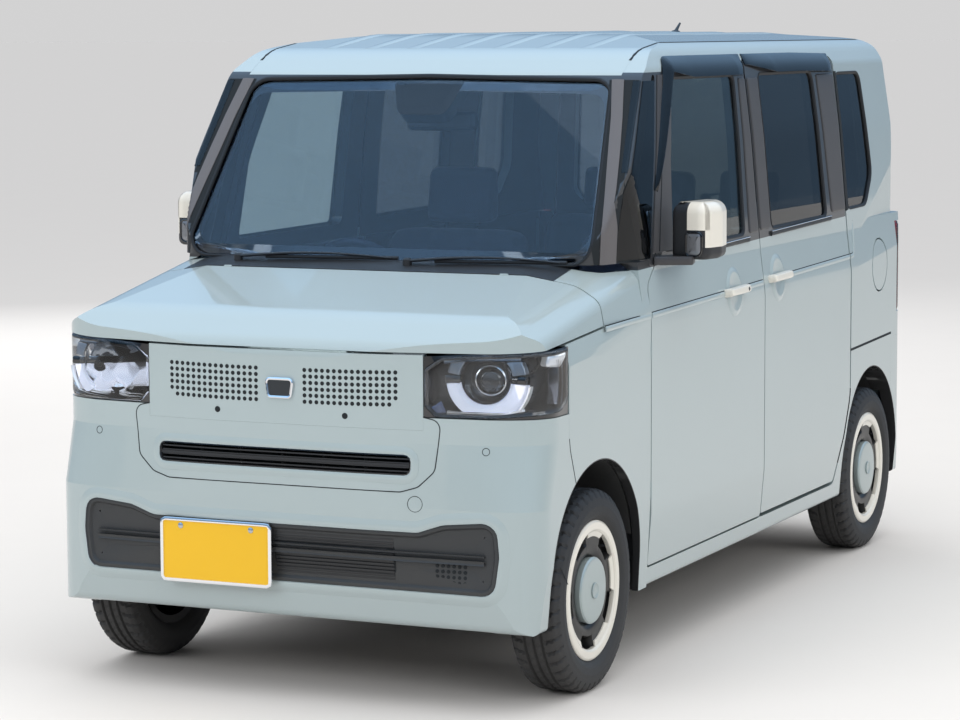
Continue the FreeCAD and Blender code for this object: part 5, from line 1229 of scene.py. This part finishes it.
DASH = outline([(-1.0852, .720, 0), (-.905, .692, .04), (-.716, .700, .04), (-.646, .858, .06), (-.656, 1.008, .06),
                (-.766, 1.078, .08), (-1.0852, 1.082, 0)], 120)
END_INSETS = ((.641, .012), (.632, .003), (.60, 0))
stations = [(-x, shrink) for x, shrink in END_INSETS] + [(x, 0) for x in (-.45, -.34, -.2, 0, .2, .45)]
stations += list(END_INSETS[::-1])
cabin = of(dash_dark, shell([across_car(inset(DASH, shrink), x) for x, shrink in stations]))


def dash_plate(x0, z0, x1, z1, height, y=-.6530):
    """A rounded plate on the dashboard's face."""
    edge = box(x0, z0, x1, z1, .014, 60)
    return patch(edge, [(0, -.012), (0, height * .6), (.003, height)], upright(y, 1), fill=3)


cabin += of(dash_light, dash_plate(-.61, .868, .61, .935, .0065))
cabin += of(screen_black, dash_plate(-.105, .945, .105, 1.060, .020),
            dash_plate(-.470, 1.030, -.210, 1.105, .012, -.700))
cabin += of(gloss_black, *(dash_plate(x, .955, x + .085, 1.000, .007) for x in (-.600, -.190, .130, .470)))
hood = outline([(-.500, 1.040, .02), (-.180, 1.040, .02), (-.190, 1.118, .03), (-.490, 1.118, .03)], 72, 6)
hood_rings = [above(upright(y, 1), *inset(hood, shrink).T, 0)
              for shrink, y in ((.030, -.90), (.006, -.80), (0, -.700), (.006, -.694), (.012, -.710))]
cabin += of(dash_dark, shell(hood_rings))
piece("dash_panels", cabin, "body", "dash_dark", ["dashboard"])

COLUMN = np.array([0, math.cos(math.radians(28)), math.sin(math.radians(28))])
HUB = np.array([-.340, DOOR_FRONT + .350, 1.010])
RIGHT, CROSS = np.array([1, 0, 0]), np.array([0, -COLUMN[2], COLUMN[1]])
turn_angle, section_angle = full_turn(96)[None, :, None], full_turn(16)[:, None, None]
ring = HUB + (.166 + .0145 * np.cos(section_angle)) * (np.cos(turn_angle) * RIGHT + np.sin(turn_angle) * CROSS)
steering = of(dash_dark, ring_shell(ring + .0130 * np.sin(section_angle) * COLUMN))
steering += of(gloss_black, *(
    tube([HUB - .020 * COLUMN + way * .030, HUB - .016 * COLUMN + way * .090, HUB - .003 * COLUMN + way * .160],
         [.020, .016, .012], 14, .45, ref=COLUMN) for way in (RIGHT, -RIGHT, -CROSS)))
pad = [(-.060, TIP), (-.058, .040), (-.030, .062), (-.006, .066), (.004, .056), (.008, .030), (.009, TIP)]
shaft = [(-.228, TIP), (-.228, .027), (-.060, .027), (-.058, TIP)]
steering += of(dash_dark, turned(pad, HUB, COLUMN, 48, up=RIGHT), turned(shaft, HUB, COLUMN, 32, up=RIGHT))
piece("steering_wheel_rim", steering, "steering_wheel", "trim_black", ["steering_wheel"])


def cushion(name, profile, x_middle, width, crown, channels):
    """A crowned pad: the side profile carried across the seat, swollen by crown * (1 - |u|^4) along its normals and
    drawn in at its ends, with sewn channels where |sin| of the way across is small."""
    edge, rings = outline(profile, 72), []
    for share in np.concatenate([np.linspace(-1, -.86, 5), np.linspace(-.76, .76, 23), np.linspace(.86, 1, 5)]):
        end = max(0.0, abs(share) - .80) / .20
        pull = .030 * (1 - math.sqrt(max(0.0, 1 - end ** 2)))
        seam = .0055 * math.exp(-(math.sin(math.pi * channels * (share * .5 + .5)) / .16) ** 2) * (abs(share) < .80)
        swell = crown * (1 - abs(share) ** 4) - pull - seam
        rings.append(across_car(inset(edge, -swell), x_middle + share * width / 2))
    made = piece(name, of(seat_cloth, shell(rings)), "body", "seat_cloth", ["seats"], smooth=60)
    smoother = made.modifiers.new("soft", "SUBSURF")
    smoother.levels = smoother.render_levels = 1


FRONT_SEAT, REAR_SEAT = (.340, DOOR_SPLIT - .110), (.256, DOOR_SPLIT + .75)
# Name, seat (x, y), width, crown, channels, side profile from the seat's y
CUSHIONS = (
    ("front_seat_base_", FRONT_SEAT, .480, .010, 3,
     [(-.450, .415, .02), (.035, .398, .02), (.010, .588, .06), (-.370, .612, .06), (-.458, .555, .05)]),
    ("front_seat_back_", FRONT_SEAT, .480, .010, 3,
     [(.020, .480, .04), (.080, .440, .04), (.238, 1.120, .04), (.180, 1.148, .04), (.122, 1.110, .05)]),
    ("front_head_rest_", FRONT_SEAT, .240, .006, 1,
     [(.172, 1.172, .02), (.248, 1.172, .02), (.255, 1.340, .04), (.202, 1.346, .04)]),
    ("rear_seat_base_", REAR_SEAT, .470, .010, 3,
     [(-.190, .540, .02), (.280, .530, .02), (.260, .670, .06), (-.130, .688, .06), (-.200, .635, .04)]),
    ("rear_seat_back_", REAR_SEAT, .470, .010, 3,
     [(.290, .560, .03), (.370, .540, .03), (.490, 1.100, .04), (.440, 1.130, .04), (.378, 1.092, .05)]),
    ("rear_head_rest_", REAR_SEAT, .220, .005, 1,
     [(.432, 1.158, .02), (.492, 1.158, .02), (.498, 1.292, .04), (.456, 1.296, .04)]),
)
for side, sign in (("left", 1), ("right", -1)):
    for name, (x, y), width, crown, channels, profile in CUSHIONS:
        cushion(name + side, [(y + dy, z, bend) for dy, z, bend in profile], sign * x, width, crown, channels)

# Seat (x, y), spread, start (dy, z), end (dy, z), radius, sides
SEAT_BARS = (
    (FRONT_SEAT, .055, (.195, 1.120), (.212, 1.190), .006, 10),
    (FRONT_SEAT, .185, (-.37, .318), (.03, .318), .018, 12),
    (FRONT_SEAT, .185, (-.34, .318), (-.34, .440), .014, 10),
    (FRONT_SEAT, .185, (.00, .318), (.00, .430), .014, 10),
    (REAR_SEAT, .055, (.455, 1.110), (.467, 1.180), .006, 10),
    (REAR_SEAT, .18, (.0, .482), (.0, .560), .016, 10),
    (REAR_SEAT, .18, (.25, .482), (.25, .560), .016, 10),
)
bars = [tube([(sign * x + dx, y + dy, z) for dy, z in (start, end)], radius, sides,
             ref=(0, 0, 1) if start[1] == end[1] else (1, 0, 0))
        for sign in (1, -1) for (x, y), spread, start, end, radius, sides in SEAT_BARS for dx in (-spread, spread)]
piece("seat_frames", of(steel, *bars), "body", "chassis_steel")

# ---------------------------------------------------------------- stage, light and camera

scene = bpy.context.scene


def place_in_scene(name, data):
    """An object of its own for a mesh, lamp or camera."""
    made = bpy.data.objects.new(name, data)
    scene.collection.objects.link(made)
    return made


floor = bpy.data.meshes.new("floor_sheet")
floor.from_pydata([(-400, -400, 0), (400, -400, 0), (400, 400, 0), (-400, 400, 0)], [], [(0, 1, 2, 3)])
floor.materials.append(finish("floor_pale", (.74, .72, .70), .85, 0, 60, .0, .02, Specular_IOR_Level=0.0))
place_in_scene("floor_sheet", floor)

world = bpy.data.worlds.new("soft_sky")
scene.world = world
world.use_nodes = True
graph = Graph(world.node_tree)
height = graph.node("SeparateXYZ", {0: graph.node("TexCoord")["Generated"]})[2]
rise = graph.slope(height, .02, .75, .22, 1.15)
light_sky = graph.node("Background", {0: (.90, .92, .95, 1), 1: rise})[0]
back_sky = graph.node("Background", {0: (.648, .646, .648, 1), 1: 1.0})[0]
blue_sky = graph.node("Background", {0: (.40, .66, 1.0, 1), 1: graph.maths("MULTIPLY", rise, 1.35)})[0]
rays = graph.node("LightPath")
sky = graph.node("MixShader", {0: rays["Is Glossy Ray"], 1: light_sky, 2: blue_sky})[0]
sky = graph.node("MixShader", {0: rays["Is Camera Ray"], 1: sky, 2: back_sky})[0]
graph.link(sky, graph.nodes["World Output"].inputs[0])


def area_light(name, place, target, size, power, tint):
    """A softbox turned to a target and hidden in reflections."""
    lamp = bpy.data.lights.new(name, "AREA")
    lamp.shape = "RECTANGLE"
    lamp.size, lamp.size_y = size
    lamp.energy, lamp.color = power, tint
    made = place_in_scene(name, lamp)
    made.location = place
    made.rotation_euler = (Vector(target) - Vector(place)).to_track_quat("-Z", "Y").to_euler()
    made.visible_glossy = False


area_light("top_softbox", (.5, -.5, 7.0), (0, 0, .6), (8, 9), 228, (1, .99, .97))
area_light("front_softbox", (-3.5, -8.5, 4.2), (0, -.5, .8), (5, 3), 205, (1, 1, 1))
area_light("side_softbox", (8.5, -2.5, 4.0), (0, 0, .8), (6, 3), 150, (1, .99, .96))
area_light("far_softbox", (-6.0, 7.5, 4.0), (0, .5, .8), (6, 3), 150, (1, 1, 1))

CAMERA_PLACE = (3.78616885, -8.7794765, 1.80124929)
AZIMUTH, ELEVATION, ROLL = math.radians(24.2855672), math.radians(6.24101877), math.radians(-.23713435)
FOCAL_PIXELS, IMAGE_WIDTH, SENSOR = 3028.136, 960, 36.0
right = np.array([math.cos(AZIMUTH), math.sin(AZIMUTH), 0])
behind = np.array([math.sin(AZIMUTH) * math.cos(ELEVATION), -math.cos(AZIMUTH) * math.cos(ELEVATION),
                   math.sin(ELEVATION)])
upward = np.cross(behind, right)
rolled_right = math.cos(ROLL) * right + math.sin(ROLL) * upward
rolled_up = -math.sin(ROLL) * right + math.cos(ROLL) * upward
lens = bpy.data.cameras.new("photo_camera")
lens.sensor_width = SENSOR
lens.lens = FOCAL_PIXELS / IMAGE_WIDTH * SENSOR
camera = place_in_scene("photo_camera", lens)
camera.matrix_world = Matrix([[*map(float, row), place] for row, place in
                              zip(np.stack([rolled_right, rolled_up, behind], 1), CAMERA_PLACE)] + [[0, 0, 0, 1]])
scene.camera = camera
scene.view_settings.view_transform = "Standard"
